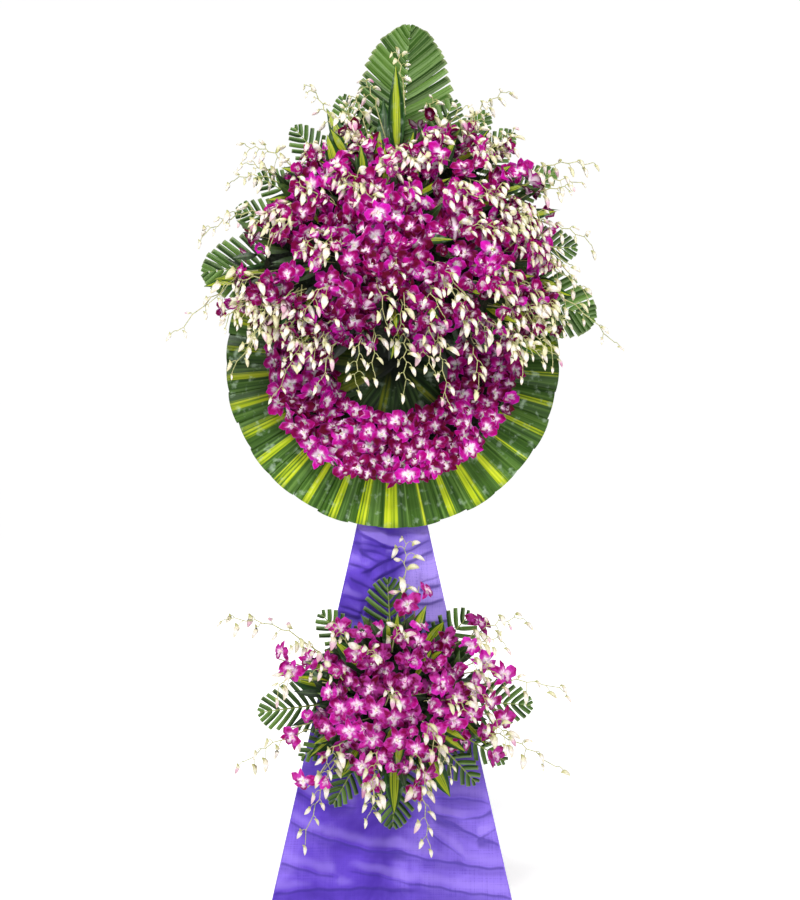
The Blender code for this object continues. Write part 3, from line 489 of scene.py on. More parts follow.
class Paint:
    """One material: its nodes are added with settings first, then values or wires."""

    def __init__(self, name, roughness=0.5, **fixed):
        self.material = bpy.data.materials.new(name)
        self.material.use_nodes = True
        self.tree = self.material.node_tree
        self.shader = self.tree.nodes["Principled BSDF"]
        self.shader.inputs["Roughness"].default_value = roughness
        for socket, value in fixed.items():
            self.shader.inputs[socket.replace("_", " ")].default_value = value

    def add(self, kind, settings, inputs, output=0):
        node = self.tree.nodes.new(kind)
        for key, value in settings.items():
            if key == "stops":
                ramp = node.color_ramp.elements
                while len(ramp) < len(value):
                    ramp.new(0.5)
                for element, (place, colour) in zip(ramp, value):
                    element.position, element.color = place, colour
            else:
                setattr(node, key, value)
        for key, value in inputs.items():
            if isinstance(value, Wire):
                self.tree.links.new(value.socket, node.inputs[key])
            else:
                node.inputs[key].default_value = value
        return Wire(self, node.outputs[output])

    def tags(self, *names):
        """Numbers that the mesh carries over its points."""
        return [self.add("ShaderNodeAttribute", {"attribute_name": name}, {}, "Fac") for name in names]

    def place(self, stretch=(1, 1, 1)):
        """Object coordinates, stretched."""
        spot = self.add("ShaderNodeTexCoord", {}, {}, "Object")
        return self.add("ShaderNodeMapping", {}, {"Vector": spot, "Scale": stretch})

    def height(self):
        """Height above the floor."""
        return self.add("ShaderNodeSeparateXYZ", {}, {"Vector": self.place()}, 2)

    def streaks(self, x, y, z, detail=3.0):
        """Noise over three numbers of the surface, so that it follows the piece."""
        spot = self.add("ShaderNodeCombineXYZ", {}, {"X": x, "Y": y, "Z": z})
        return self.noise(spot, 1.0, detail)

    def noise(self, vector, scale, detail=3.0, distortion=0.0):
        return self.add("ShaderNodeTexNoise", {}, {
            "Vector": vector, "Scale": scale, "Detail": detail, "Distortion": distortion})

    def cells(self, vector, scale):
        return self.add("ShaderNodeTexVoronoi", {}, {"Vector": vector, "Scale": scale})

    def step(self, value, low, high):
        """Smooth rise from 0 at low to 1 at high."""
        return self.add("ShaderNodeMapRange", {"interpolation_type": "SMOOTHSTEP"},
                        {"Value": value, "From Min": low, "From Max": high})

    def mix(self, first, second, mask):
        return self.add("ShaderNodeMix", {"data_type": "RGBA"}, {0: mask, 6: first, 7: second}, 2)

    def ramp(self, value, *stops):
        return self.add("ShaderNodeValToRGB", {"stops": stops}, {"Fac": value})

    def shine(self, colour):
        self.tree.links.new(colour.socket, self.shader.inputs["Emission Color"])

    def finish(self, colour, roughness=None, height=None, depth=0.001):
        self.tree.links.new(colour.socket, self.shader.inputs["Base Color"])
        if roughness is not None:
            self.tree.links.new(roughness.socket, self.shader.inputs["Roughness"])
        if height is not None:
            bump = self.add("ShaderNodeBump", {}, {"Height": height, "Distance": depth})
            self.tree.links.new(bump.socket, self.shader.inputs["Normal"])
        return self.material


# Finishes
def orchid_finish():
    """Petals: a white star at the throat that runs out along each petal's middle,
    lilac round it, magenta beyond with fine veins, violet rims that also carry a
    painted sheen, and pale backs; the lip is deeper and the column is cream. Each bloom
    has its own tone. Those under the upper head are darker by painted shade, and those
    of the lower head more lilac in patches."""
    paint = Paint("orchid_petal", 0.55, Specular_IOR_Level=0.06)
    reach, across, lobe, tone, side = paint.tags("reach", "across", "lobe", "tone", "side")
    spot, high = paint.place(), paint.height()
    speckle, cloud = paint.noise(spot, 260, 2), paint.noise(spot, 70, 2)
    body = paint.ramp(tone + (cloud - 0.5) * 0.7, (0.0, rgb(82, 0, 26)), (0.35, rgb(130, 0, 70)),
                      (0.7, rgb(168, 0, 114)), (1.0, rgb(200, 16, 164)))
    lip = paint.mix(rgb(92, 0, 40), rgb(146, 0, 94), tone)
    on_lip = paint.step(lobe, 0.4, 0.6)
    body = paint.mix(body, lip, on_lip * paint.step(reach, 0.25, 0.55))
    veins = paint.step((across * 21.0).wave() * 0.5 + speckle * 0.5, 0.55, 0.9)
    body = paint.mix(body, rgb(100, 0, 58), veins * 0.4 * paint.step(reach, 0.2, 0.5))
    # Violet rims: the petals' own rim colour with a painted sheen along the edges.
    rim = paint.step(abs(across) + speckle * 0.25 - 0.12, 0.55, 1.05) * (0.15 + tone * 0.55)
    body = paint.mix(body, rgb(206, 72, 204), rim)
    star = reach + abs(across) * 0.30 + speckle * 0.30 - tone * 0.22 - on_lip * 0.10
    body = paint.mix(body, rgb(216, 78, 190), (1 - paint.step(star, 0.35, 0.80)) * 0.72)
    body = paint.mix(body, rgb(253, 240, 250), 1 - paint.step(star, 0.27, 0.60))
    back = paint.step(side, -0.2, -0.8) * (1 - paint.step(reach + speckle * 0.3, 0.62, 1.15) * 0.6)
    body = paint.mix(body, rgb(240, 222, 232), back * 0.92)
    body = paint.mix(body, rgb(236, 232, 205), paint.step(lobe, 1.4, 1.6))
    # Painted shade on the blooms under the upper head.
    under = paint.step(high, 1.44, 1.34) * paint.step(high, 1.12, 1.28)
    body = paint.mix(body, rgb(36, 0, 12), under * 0.36)
    lower = paint.step(high, 0.95, 0.85) * paint.step(cloud, 0.42, 0.62)
    body = paint.mix(body, rgb(230, 84, 210), lower * 0.30)
    return paint.finish(body, 0.42 + speckle * 0.18, speckle + veins * 0.4, 0.0004)


def bud_finish():
    """Buds: cream with a green foot, dull pink blotches, some flushed with violet."""
    paint = Paint("orchid_bud", 0.5, Specular_IOR_Level=0.15)
    reach, tone = paint.tags("reach", "tone")
    speckle = paint.noise(paint.place(), 220, 2)
    body = paint.ramp(reach, (0.0, rgb(176, 178, 110)), (0.22, rgb(228, 222, 192)),
                      (0.60, rgb(242, 236, 231)), (1.0, rgb(218, 210, 172)))
    body = paint.mix(body, rgb(206, 206, 142), paint.step(tone * -1.0, -0.26, -0.05) * 0.6)
    flush = paint.step(tone, 0.80, 1.0) * paint.step(reach + speckle * 0.3, 0.35, 0.8)
    body = paint.mix(body, rgb(196, 84, 160), flush * 0.75)
    body = paint.mix(body, rgb(196, 154, 150), paint.step(speckle, 0.48, 0.76) * 0.45)
    return paint.finish(body, 0.38 + speckle * 0.2, speckle, 0.0003)


def twig_finish():
    """Twigs and stalks: dull green to straw, with reddish stretches."""
    paint = Paint("spray_twig", 0.5, Specular_IOR_Level=0.3)
    speckle = paint.noise(paint.place(), 160, 3)
    body = paint.ramp(speckle, (0.3, rgb(126, 134, 70)), (0.55, rgb(186, 186, 130)),
                      (0.8, rgb(182, 144, 112)))
    return paint.finish(body, 0.4 + speckle * 0.3, speckle, 0.0003)


def striped_finish(name, stripe, spread, greens, glow=1.0, shade=0.0, painted_top_shade=0.0):
    """Leaf blade: green with a ragged yellow band along the rib, narrower the higher
    the leaf's tone, thin parallel streaks, a pale rib line, dust and water marks with
    a painted sheen, and a soft gloss with shallow ridges. Glow scales the yellow and the
    dust. Shade darkens the root as painted shade, and the last argument paints shade over
    the disc's leaves towards the upper head."""
    paint = Paint(name, 0.34, Specular_IOR_Level=0.20)
    reach, across, tone, side = paint.tags("reach", "across", "tone", "side")
    streak = paint.streaks(across * 5.0 + tone * 31.0, reach * 1.3, tone * 17.0)
    fine = (across * 27.0 + tone * 9.0 + streak * 2.0).wave()
    body = paint.ramp(streak + fine * 0.02, *zip((0.34, 0.52, 0.72), (rgb(*green) for green in greens)))
    edge = abs(across - (tone - 0.5) * 0.22) + (streak - 0.5) * 0.26 + (tone - 0.5) * spread
    band = 1 - paint.step(edge, stripe * 0.78, stripe)
    band = band * (1 - paint.step(reach, 0.95, 1.0) * 0.4)
    yellow = paint.ramp(streak + fine * 0.11, (0.33, rgb(84 * glow, 120 * glow, 20)),
                        (0.46, rgb(168 * glow, 188 * glow, 16)), (0.68, rgb(200 * glow, 210 * glow, 44)))
    body = paint.mix(body, yellow, band)
    body = paint.mix(body, rgb(150 * glow, 172 * glow, 60), (1 - paint.step(abs(across), 0.010, 0.035)) * 0.4)
    body = paint.mix(body, rgb(92, 124, 70), paint.step(side, -0.2, -0.8) * 0.55)
    high = paint.height()
    # Painted shade: darker towards the upper head, which overhangs the disc's leaves.
    body = paint.mix(body, rgb(7, 20, 4), paint.step(high, 1.02, 1.32) * painted_top_shade)
    # Pale patches: partly dust and water marks, partly a painted sheen.
    dust_and_sheen = paint.noise(paint.place(), 46, 5)
    body = paint.mix(body, rgb(190 * glow, 214 * glow, 186 * glow), paint.step(dust_and_sheen, 0.54, 0.76) * 0.46)
    # Painted shade over the leaf's root.
    body = paint.mix(body, rgb(5, 10, 5), (1 - paint.step(reach, 0.16, 0.66)) * shade)
    return paint.finish(body, 0.28 + streak * 0.18 + dust_and_sheen * 0.1, streak + dust_and_sheen * 0.3, 0.0003)


def frond_finish():
    """Palm leaflets: each its own green, with lengthwise streaks, a painted highlight
    in patches on one half of the fold, a pale midline, a paler underside, dry tips and a pale rib."""
    paint = Paint("palm_frond", 0.42, Specular_IOR_Level=0.20)
    reach, across, tone, side, lobe = paint.tags("reach", "across", "tone", "side", "lobe")
    streak = paint.streaks(across * 5.0 + tone * 23.0, reach * 1.5, tone * 11.0)
    body = paint.ramp(streak * 0.5 + tone * 0.5, (0.25, rgb(24, 50, 6)), (0.5, rgb(52, 86, 22)),
                      (0.8, rgb(100, 136, 56)))
    body = paint.mix(body, rgb(148, 170, 128), paint.step(side, -0.2, -0.8) * 0.55)
    # Painted highlight on one half of each leaflet's fold.
    body = paint.mix(body, rgb(150, 180, 118), paint.step(across + streak * 0.5, 0.35, 0.75) * 0.42)
    body = paint.mix(body, rgb(122, 148, 88), (1 - paint.step(abs(across), 0.03, 0.16)) * 0.40)
    tip = paint.step(reach + streak * 0.12, 0.98, 1.08)
    body = paint.mix(body, rgb(158, 168, 120), tip * 0.7)
    body = paint.mix(body, rgb(150, 164, 88), paint.step(lobe, 0.4, 0.6))
    return paint.finish(body, 0.28 + streak * 0.25, streak, 0.0008)


def filler_finish():
    """Dark leaves between the flowers, with painted shade that makes them nearly black under the upper head.
    """
    paint = Paint("filler_leaf", 0.4)
    reach, across, tone = paint.tags("reach", "across", "tone")
    streak = paint.noise(paint.place(), 120, 3)
    body = paint.ramp(streak * 0.5 + tone * 0.5, (0.2, rgb(12, 28, 8)), (0.55, rgb(34, 62, 18)),
                      (0.9, rgb(82, 112, 42)))
    body = paint.mix(body, rgb(96, 124, 60), (1 - paint.step(abs(across), 0.03, 0.15)) * 0.4)
    body = paint.mix(body, rgb(8, 18, 8), (1 - paint.step(reach, 0.0, 0.4)) * 0.6)
    high = paint.height()
    # Painted shade under the upper head.
    under = paint.step(high, 1.46, 1.36) * paint.step(high, 1.10, 1.20)
    body = paint.mix(body, rgb(5, 9, 4), under * 0.85)
    return paint.finish(body, 0.3 + streak * 0.3, streak, 0.0010)


def heart_finish():
    """Tangle of stalks behind the flowers, dark as painted shade, with painted deep magenta shadow patches.
    """
    paint = Paint("stems_and_painted_shade", 0.85)
    spot = paint.place()
    clump, fine = paint.noise(spot, 34, 5, 1.5), paint.cells(spot, 120)
    # Dark greens for the stalks and the painted shade behind the blooms; the magenta patches are painted
    # shadow.
    body = paint.ramp(clump, (0.3, rgb(8, 12, 6)), (0.5, rgb(20, 34, 12)), (0.72, rgb(48, 60, 22)))
    body = paint.mix(body, rgb(52, 8, 34), paint.step(clump, 0.55, 0.75) * 0.35)
    return paint.finish(body, 0.75 + fine * 0.2, clump + fine * 0.6, 0.006)


def foam_finish():
    """Floral foam: fine open pores, faded and crumbled in patches."""
    paint = Paint("floral_foam", 0.92)
    spot = paint.place()
    pores, patch = paint.cells(spot, 620), paint.noise(spot, 18, 4)
    body = paint.ramp(patch, (0.3, rgb(38, 84, 42)), (0.55, rgb(58, 110, 56)), (0.8, rgb(92, 138, 84)))
    body = paint.mix(body, rgb(22, 54, 26), (1 - paint.step(pores, 0.1, 0.45)) * 0.6)
    return paint.finish(body, 0.85 + pores * 0.12, pores + patch * 0.4, 0.0015)


def board_finish():
    """Pressed bead board: pale beads with grey seams and light scuffs."""
    paint = Paint("bead_board", 0.8)
    spot = paint.place()
    beads, scuff = paint.cells(spot, 260), paint.noise(spot, 12, 5)
    body = paint.ramp(beads, (0.0, rgb(226, 228, 222)), (0.6, rgb(214, 216, 210)), (1.0, rgb(176, 180, 172)))
    body = paint.mix(body, rgb(168, 170, 150), paint.step(scuff, 0.56, 0.75) * 0.4)
    return paint.finish(body, 0.7 + scuff * 0.2, 1 - beads, 0.0008)


def tray_finish():
    """Dark green moulded plastic with a fine grain and hazy patches."""
    paint = Paint("tray_plastic", 0.35, Specular_IOR_Level=0.5)
    spot = paint.place()
    grain, haze = paint.noise(spot, 900, 2), paint.noise(spot, 22, 4)
    body = paint.mix(rgb(24, 56, 30), rgb(44, 84, 48), haze)
    return paint.finish(body, 0.28 + haze * 0.25, grain, 0.0002)


def wood_finish(name, stretch):
    """Sawn pine: bands along the grain, fine pores, darker knots and a little grime."""
    paint = Paint(name, 0.62)
    spot = paint.place(stretch)
    bands, pores = paint.noise(spot, 2.2, 4, 1.2), paint.noise(spot, 26, 3)
    knots = paint.cells(paint.place(tuple(0.35 * s for s in stretch)), 1.3)
    body = paint.ramp(bands, (0.3, rgb(150, 108, 66)), (0.5, rgb(192, 150, 100)),
                      (0.72, rgb(214, 178, 128)))
    body = paint.mix(body, rgb(112, 74, 42), (1 - paint.step(knots, 0.03, 0.10)) * 0.7)
    body = paint.mix(body, rgb(140, 104, 68), paint.step(pores, 0.52, 0.7) * 0.4)
    grime = paint.noise(paint.place(), 9, 4)
    body = paint.mix(body, rgb(120, 96, 70), paint.step(grime, 0.55, 0.8) * 0.35)
    return paint.finish(body, 0.52 + pores * 0.25, bands * 0.4 + pores, 0.0006)


def cloth_finish():
    """Plain woven violet cloth: crossed threads of its own flat coordinates, slubs
    along them, a painted highlight on raised laps and painted shadow in the creases under
    them. The right side is paler by painted light, most of all on the neck, and the neck
    gets painted shadow right under the disc."""
    paint = Paint("violet_weave", 0.62, Sheen_Weight=0.15, Sheen_Roughness=0.5, Specular_IOR_Level=0.25)
    wide, long, crest = paint.tags("wide", "long", "crest")
    warp, weft = (wide * 3300.0).wave(), (long * 3300.0).wave()
    slub = paint.streaks(wide * 420.0, long * 9.0, 0.0, 2)
    cross = paint.streaks(wide * 9.0, long * 420.0, 4.0, 2)
    patch = paint.noise(paint.place(), 6.0, 4, 0.8)
    body = paint.ramp(patch, (0.36, rgb(72, 38, 166)), (0.5, rgb(96, 62, 196)),
                      (0.70, rgb(138, 108, 228)))
    high, right = paint.height(), wide + patch * 0.2
    # Painted light: paler towards the right, most of all on the neck.
    body = paint.mix(body, rgb(160, 134, 236), paint.step(right, 0.02, 0.36) * 0.42)
    painted_light_on_neck = paint.step(high, 0.60, 0.68) * paint.step(right, 0.09, 0.18)
    body = paint.mix(body, rgb(190, 168, 244), painted_light_on_neck * 0.55)
    # Painted shadow of the disc on the top of the neck.
    body = paint.mix(body, rgb(58, 30, 146), paint.step(high + patch * 0.03, 0.826, 0.862) * 0.6)
    body = paint.mix(body, rgb(76, 46, 176), paint.step(slub + cross - 0.5, 0.5, 0.75) * 0.35)
    # Painted highlight above each fold's line and painted shadow in the crease below it.
    body = paint.mix(body, rgb(174, 148, 246), paint.step(crest, 0.05, 0.6) * 0.40)
    body = paint.mix(body, rgb(42, 16, 128), paint.step(crest * -1.0, 0.05, 1.0) * 0.62)
    return paint.finish(body, 0.5 + slub * 0.25, warp * weft * 0.15 + slub + cross, 0.0002)


# Flowers
TEPALS = (
    # heading, length, half width, offset out of the bloom's plane, shape
    (90, 0.98, 0.23, -0.04, 0), (216, 0.96, 0.25, -0.04, 0), (324, 0.96, 0.25, -0.04, 0),
    (20, 1.00, 0.40, 0.02, 1), (160, 1.00, 0.40, 0.02, 1),
)
TEPAL_T = np.array([0.0, 0.38, 0.74, 1.0])
TEPAL_WIDE = np.array([[0.34, 1.0, 0.80, 0.07], [0.20, 0.94, 0.96, 0.14]])


def bloom_frame(outward, turn):
    """Right, up and outward axes of blooms, turned in their own plane."""
    outward = unit(outward)
    level = unit(np.cross(np.array([0.0, 0.0, 1.0]), outward) + 1e-6)
    up = np.cross(outward, level)
    cos, sin = np.cos(turn)[:, None], np.sin(turn)[:, None]
    return level * cos + up * sin, up * cos - level * sin, outward


def orchids(centre, outward, radius, turn, closing, tone, rng):
    """Open blooms. A tepal is a sheet whose middle runs out along its heading,
    raised by the bloom's closing angle, swells forward by t - t squared and curls
    back at its tip; its half width follows a table and its edges bend back. The lip
    runs forward and then down, its sides raised near the throat, under a column."""
    count = len(centre)
    right, up, out = bloom_frame(outward, turn)
    s = np.array([-1.0, 0.0, 1.0])
    t = TEPAL_T[:, None]
    sheets = []
    for heading, length, half, offset, shape in TEPALS:
        angle = math.radians(heading) + rng.normal(0, 0.07, count)[:, None, None]
        size = length * (1 + rng.normal(0, 0.04, count)[:, None, None])
        rise = (closing + rng.normal(0, 0.10, count))[:, None, None]
        curl = rng.uniform(-0.05, 0.42, count)[:, None, None]
        fold = rng.normal(-0.20, 0.34, count)[:, None, None]
        wide = half * TEPAL_WIDE[shape][:, None] * s
        distance = size * t * np.cos(rise)
        lift = offset + size * (t * np.sin(rise) + 0.30 * (t - t * t) - curl * t ** 3)
        lift = lift + fold * np.abs(s) * np.abs(wide) * 1.2
        x = distance * np.cos(angle) + wide * np.sin(angle)
        y = distance * np.sin(angle) - wide * np.cos(angle)
        sheets.append(np.stack(np.broadcast_arrays(x, y, lift), -1))
    local = np.stack(sheets, 1)
    lip_t = np.linspace(0, 1, 4)[:, None]
    half = np.array([0.17, 0.25, 0.31, 0.13])[:, None]
    raised = np.array([0.9, 0.9, 0.2, -0.2])[:, None]
    lip = np.stack(np.broadcast_arrays(
        half * s, -0.05 - 0.12 * lip_t - 0.40 * lip_t ** 2 + 0.26 * raised * np.abs(s) * half * 2,
        0.08 + 0.52 * lip_t - 0.30 * lip_t ** 2 + 0.10 * raised * np.abs(s)), -1)
    local = np.concatenate([local, np.broadcast_to(lip, (count, 1, 4, 3, 3))], 1)
    scale = radius[:, None, None, None, None]
    axes = np.stack([right, up, out], 1)[:, None, None, None]
    placed = centre[:, None, None, None] + scale * np.einsum("bplsk,bplskj->bplsj", local,
                                                             np.broadcast_to(axes, local.shape + (3,)))
    petals = len(TEPALS) + 1
    lobes = np.zeros(petals)
    lobes[-1] = 1.0
    parts = blades(placed.reshape(count * petals, 4, 3, 3), PETAL_THICK,
                   reach=TEPAL_T[None, :, None], across=s[None, None, :],
                   lobe=np.tile(lobes, count)[:, None, None],
                   tone=np.repeat(tone, petals)[:, None, None])
    spine = np.array([[0, 0.05, 0.0], [0, 0.05, 0.13], [0, 0.0, 0.22]])
    paths = centre[:, None] + radius[:, None, None] * (
        spine[:, 0, None] * right[:, None] + spine[:, 1, None] * up[:, None]
        + spine[:, 2, None] * out[:, None])
    columns = tubes(paths, radius[:, None] * np.array([0.075, 0.085, 0.05]), 4,
                    reach=0.1, across=0.0, lobe=2.0, side=1.0, tone=0.5)
    return [parts, columns]


# Bud: distance along it, swing of its spur to the side, and width.
BUD_T = np.array([-0.10, 0.05, 0.24, 0.46, 0.68, 0.87, 1.0])
BUD_SPUR = np.array([0.36, 0.17, 0.04, 0.0, 0.0, 0.01, 0.03])
BUD_WIDE = np.array([0.20, 0.60, 0.97, 1.0, 0.80, 0.46, 0.10])


def buds(start, heading, droop, length, radius, tone):
    """Plump buds: a path along the heading that starts in a short spur swung to one
    side and bends by t squared along the droop, swelling to its middle."""
    t = BUD_T[None, :, None]
    aside = unit(np.cross(heading, np.array([0.31, 0.42, 0.85])))
    paths = start[:, None] + length[:, None, None] * (
        heading[:, None] * t + droop[:, None] * 0.22 * t * t + aside[:, None] * BUD_SPUR[None, :, None])
    return tubes(paths, radius[:, None] * BUD_WIDE, 6, flat=0.88, reach=BUD_T[None], tone=tone[:, None])


def stalks(start, stop, sag, steps=5):
    """Stalks from start to stop whose middle is pushed aside by sag times 4 t (1 - t),
    thinner towards their stop."""
    t = np.linspace(0, 1, steps)[None, :, None]
    paths = start[:, None] * (1 - t) + stop[:, None] * t + sag[:, None] * (4 * t * (1 - t))
    return tubes(paths, STALK_RADIUS * np.linspace(1.0, 0.7, steps), 4)


def bud_sprays(paths, count, first, rng, size=1.0):
    """Zigzag twigs along paths on the face, and buds that hang from bent stalks on
    both sides in turn, smaller towards the tip, the last one ending the twig. The
    twig steps aside towards each of its stalks."""
    sprays, steps = paths.shape[:2]
    share = first + (1 - first) * np.linspace(0, 1, count)[None] + np.append(
        rng.normal(0, 0.018, (sprays, count - 1)), np.zeros((sprays, 1)), 1)
    where = np.clip(share, 0, 1) * (steps - 1)
    cell = np.minimum(where.astype(int), steps - 2)
    part = (where - cell)[..., None]
    row = np.arange(sprays)[:, None]
    knots = paths[row, cell] * (1 - part) + paths[row, cell + 1] * part
    along = unit(paths[row, cell + 1] - paths[row, cell])
    swing = unit(np.cross(along, np.array([0.0, 0.0, 1.0])))
    turn = np.where((np.arange(count)[None] + row) % 2, 1.0, -1.0)[..., None]
    knots = knots + swing * turn * rng.uniform(0.0015, 0.0040, (sprays, count, 1))
    turn = turn * rng.uniform(0.5, 1.2, (sprays, count, 1))
    down = np.array([0.0, -1.0, 0.0])
    out = np.array([0.0, 0.0, 1.0])
    last = (np.arange(count) == count - 1)[None, :, None]
    heading = unit(along * np.where(last, 2.6, 0.6) + swing * turn
                   + out * rng.uniform(-0.4, 0.9, (sprays, count, 1))
                   + rng.normal(0, 0.28, (sprays, count, 3)))
    shrink = size * (1.18 - 0.52 * share)[..., None] * rng.uniform(0.68, 1.25, (sprays, count, 1))
    reach = BUD_STALK * shrink * rng.uniform(0.6, 1.5, (sprays, count, 1))
    tips = knots + heading * reach + down * reach * 0.25
    flat = (-1, 3)
    pointing = unit(heading * 0.7 + down * rng.uniform(0.0, 1.5, (sprays, count, 1)))
    total = sprays * count
    plump = BUD_RADIUS * shrink * rng.uniform(0.85, 1.2, shrink.shape)
    grown = buds(tips.reshape(flat), pointing.reshape(flat), np.broadcast_to(down, (total, 3)),
                 (BUD_LENGTH * shrink).ravel(), plump.ravel(), rng.uniform(0, 1, total))
    sag = (-down * reach * 0.30).reshape(flat)
    feet = stalks(knots.reshape(flat), (tips + pointing * 0.002).reshape(flat), sag)
    line = np.concatenate([paths[:, :1], knots], 1)
    twigs = tubes(line, np.linspace(*TWIG_RADII, count + 1)[None], 5)
    for part in (grown, feet, twigs):
        part["points"] = on_face(part["points"])
    return grown, [feet, twigs]


def arch(rows, seat, steps=9):
    """Paths of bud sprays from start to tip on the face: straight lines lifted in their
    middle by 0.11 of their length up the face and by 16 mm out of it."""
    rows = np.array(rows)
    start = np.column_stack([rows[:, 0], rows[:, 1], seat(rows[:, 0], rows[:, 1]) - 0.012])
    stop = rows[:, 2:5]
    t = np.linspace(0, 1, steps)[None, :, None]
    length = np.linalg.norm((stop - start)[:, :2], axis=1)
    rise = np.column_stack([0 * length, 0.1125 * length, 0 * length + 0.01575])
    return start[:, None] * (1 - t) + stop[:, None] * t + rise[:, None] * (4 * t * (1 - t))


def dome_seat(middle, core):
    """Height of a head's domed core over a place on the face: its back, plus its depth
    times the root of 1 less the squared shares of both half sizes."""
    half_u, half_v, back, depth = core

    def seat(u, v):
        share = ((u - middle[0]) / half_u) ** 2 + ((v - middle[1]) / half_v) ** 2
        return back + depth * np.sqrt(np.clip(1 - share, 0.05, 1))

    return seat


def upper_reach(angle):
    """How far the upper head's blooms reach at an angle, read from the table."""
    table = np.array(UPPER_REACH, float)
    return np.interp(np.degrees(angle) % 360, table[:, 0], table[:, 1])


def on_mound(angle, share, standoff):
    """Places on the upper mound: a share of its reach at an angle, at the height of
    a half oval over its back plus a standoff."""
    reach = upper_reach(angle) * share
    back, depth = UPPER_CORE[2:]
    height = back + depth * np.sqrt(np.clip(1 - share ** 2, 0.0, 1)) + standoff
    return around(UPPER, angle, reach, reach, height)


def turn_out(spots, middle, core, lean):
    """Outward direction of a dome at places on the face, tipped towards the viewer."""
    half_u, half_v, _, depth = core
    du, dv = (spots[:, 0] - middle[0]) / half_u, (spots[:, 1] - middle[1]) / half_v
    rise = np.sqrt(np.clip(1 - du ** 2 - dv ** 2, 0.02, 1))
    return unit(np.stack([du / half_u, dv / half_v, rise / depth * lean], -1))


def face_way(vectors):
    """Directions on the face as row-frame directions."""
    return on_face(vectors) - on_face(np.zeros(3))


def grow_blooms(name, spots, facing, seats, radius, finish, twig, nodes, rng, closing, shut_share):
    """Blooms at places on the face, a share of them still shut, with their stalks
    down to the seats."""
    count = len(spots)
    shut = rng.uniform(*closing, count)
    shut[rng.uniform(0, 1, count) < shut_share] = SHUT_ANGLE
    tone = np.clip(rng.normal(0.48, 0.33, count), 0, 1)
    size = radius * rng.uniform(0.84, 1.14, count)
    centre = on_face(spots)
    outward = unit(face_way(facing))
    parts = orchids(centre, outward, size, rng.normal(0, 0.55, count), shut, tone, rng)
    piece(name, parts, finish, "orchid", nodes)
    foot = on_face(seats)
    heel = centre - outward * (0.03 * size)[:, None]
    stems = stalks(heel, foot, -outward * 0.004, 4)
    piece(name + "_stalks", [stems], twig, "orchid", nodes)


def leaf_tufts(name, roots, heading, facing, length, width, finish, nodes, rng, tones=(0.0, 1.0)):
    """Short leaves: a blade runs along its heading and arches towards its facing by
    0.25 (t - t squared) of its length. Its half width follows a sine of t to the 0.8
    and closes at the tip, and both halves fold back from the rib."""
    count = len(roots)
    t = np.linspace(0, 1, 6)[None, :, None, None]
    s = np.array([-1.0, -0.5, 0.0, 0.5, 1.0])[None, None, :, None]
    half = 0.5 * width[:, None, None, None] * (0.15 + 0.85 * np.sin(np.pi * t ** 0.8)) * (1 - 0.95 * t ** 6)
    across = unit(np.cross(heading, facing))[:, None, None]
    middle = (roots[:, None, None] + length[:, None, None, None] * (
        heading[:, None, None] * t + facing[:, None, None] * 0.25 * (t - t * t))
        + across * s * half - facing[:, None, None] * np.abs(s) * half * 0.35)
    part = blades(on_face(middle), TUFT_THICK, reach=t[..., 0], across=s[..., 0],
                  tone=rng.uniform(*tones, count)[:, None, None])
    piece(name, [part], finish, "striped_leaf", nodes)


def tucked_leaves(name, rows, height, finish, nodes, rng):
    """Leaves at chosen places and headings over a head, at a height of u and v."""
    u, v, turn, length, width = np.array(rows).T
    turn = np.radians(turn)
    leaf_tufts(name, np.stack([u, v, height(u, v)], -1), unit(ray(turn, 1.0, 0.12)),
               unit(ray(turn, -0.1, 1.0)), length, width, finish, nodes, rng, (0.1, 0.55))


def collar(name, middle, foam, depths, count, length, finish, nodes, rng):
    """Leaves that stand out all round a foam block and hide its sides: their roots
    follow the block's outline at depths between two heights."""
    turn = 2 * math.pi * (np.arange(count) + rng.uniform(-0.3, 0.3, count)) / count
    to_side = foam[0] / np.maximum(np.abs(np.cos(turn)), 1e-6)
    to_end = foam[1] / np.maximum(np.abs(np.sin(turn)), 1e-6)
    far = np.minimum(to_side, to_end) - 0.012
    roots = around(middle, turn, far, far, rng.uniform(*depths, count))
    heading = ray(turn, 1.0, rng.uniform(-0.15, 0.30, count)) + rng.normal(0, 0.12, (count, 3))
    facing = unit(ray(turn, -0.2, 1.0) + rng.normal(0, 0.35, (count, 3)))
    leaf_tufts(name, roots, unit(heading), facing, rng.uniform(*length, count),
               rng.uniform(0.028, 0.046, count), finish, nodes, rng)


def between_leaves(name, angle, roots, facing, rise, shape, finish, nodes, rng):
    """Leaves between the flowers: each runs outwards at its angle with a rise, a little
    astray, and its length and width lie between the shape's bounds."""
    count = len(roots)
    heading = unit(ray(angle, 1.0, rise) + rng.normal(0, 0.35, (count, 3)))
    leaf_tufts(name, roots, heading, facing, rng.uniform(*shape[:2], count),
               rng.uniform(*shape[2:], count), finish, nodes, rng)


def clear_of(spots, gaps):
    """Which places lie outside all gaps, given as middle u, v and radius."""
    gaps = np.array(gaps)
    far = np.hypot(spots[:, None, 0] - gaps[:, 0], spots[:, None, 1] - gaps[:, 1])
    return np.all(far > gaps[:, 2], axis=1)


def golden(count, spread, power, rng):
    """Evenly spread angles and shares: the golden angle and a power of the rank."""
    rank = (np.arange(count) + 0.5) / count
    return (np.arange(count) * math.pi * (3 - math.sqrt(5)) + rng.normal(0, 0.12, count),
            np.clip(spread * rank ** power + rng.normal(0, 0.02, count), 0.02, 1.04))


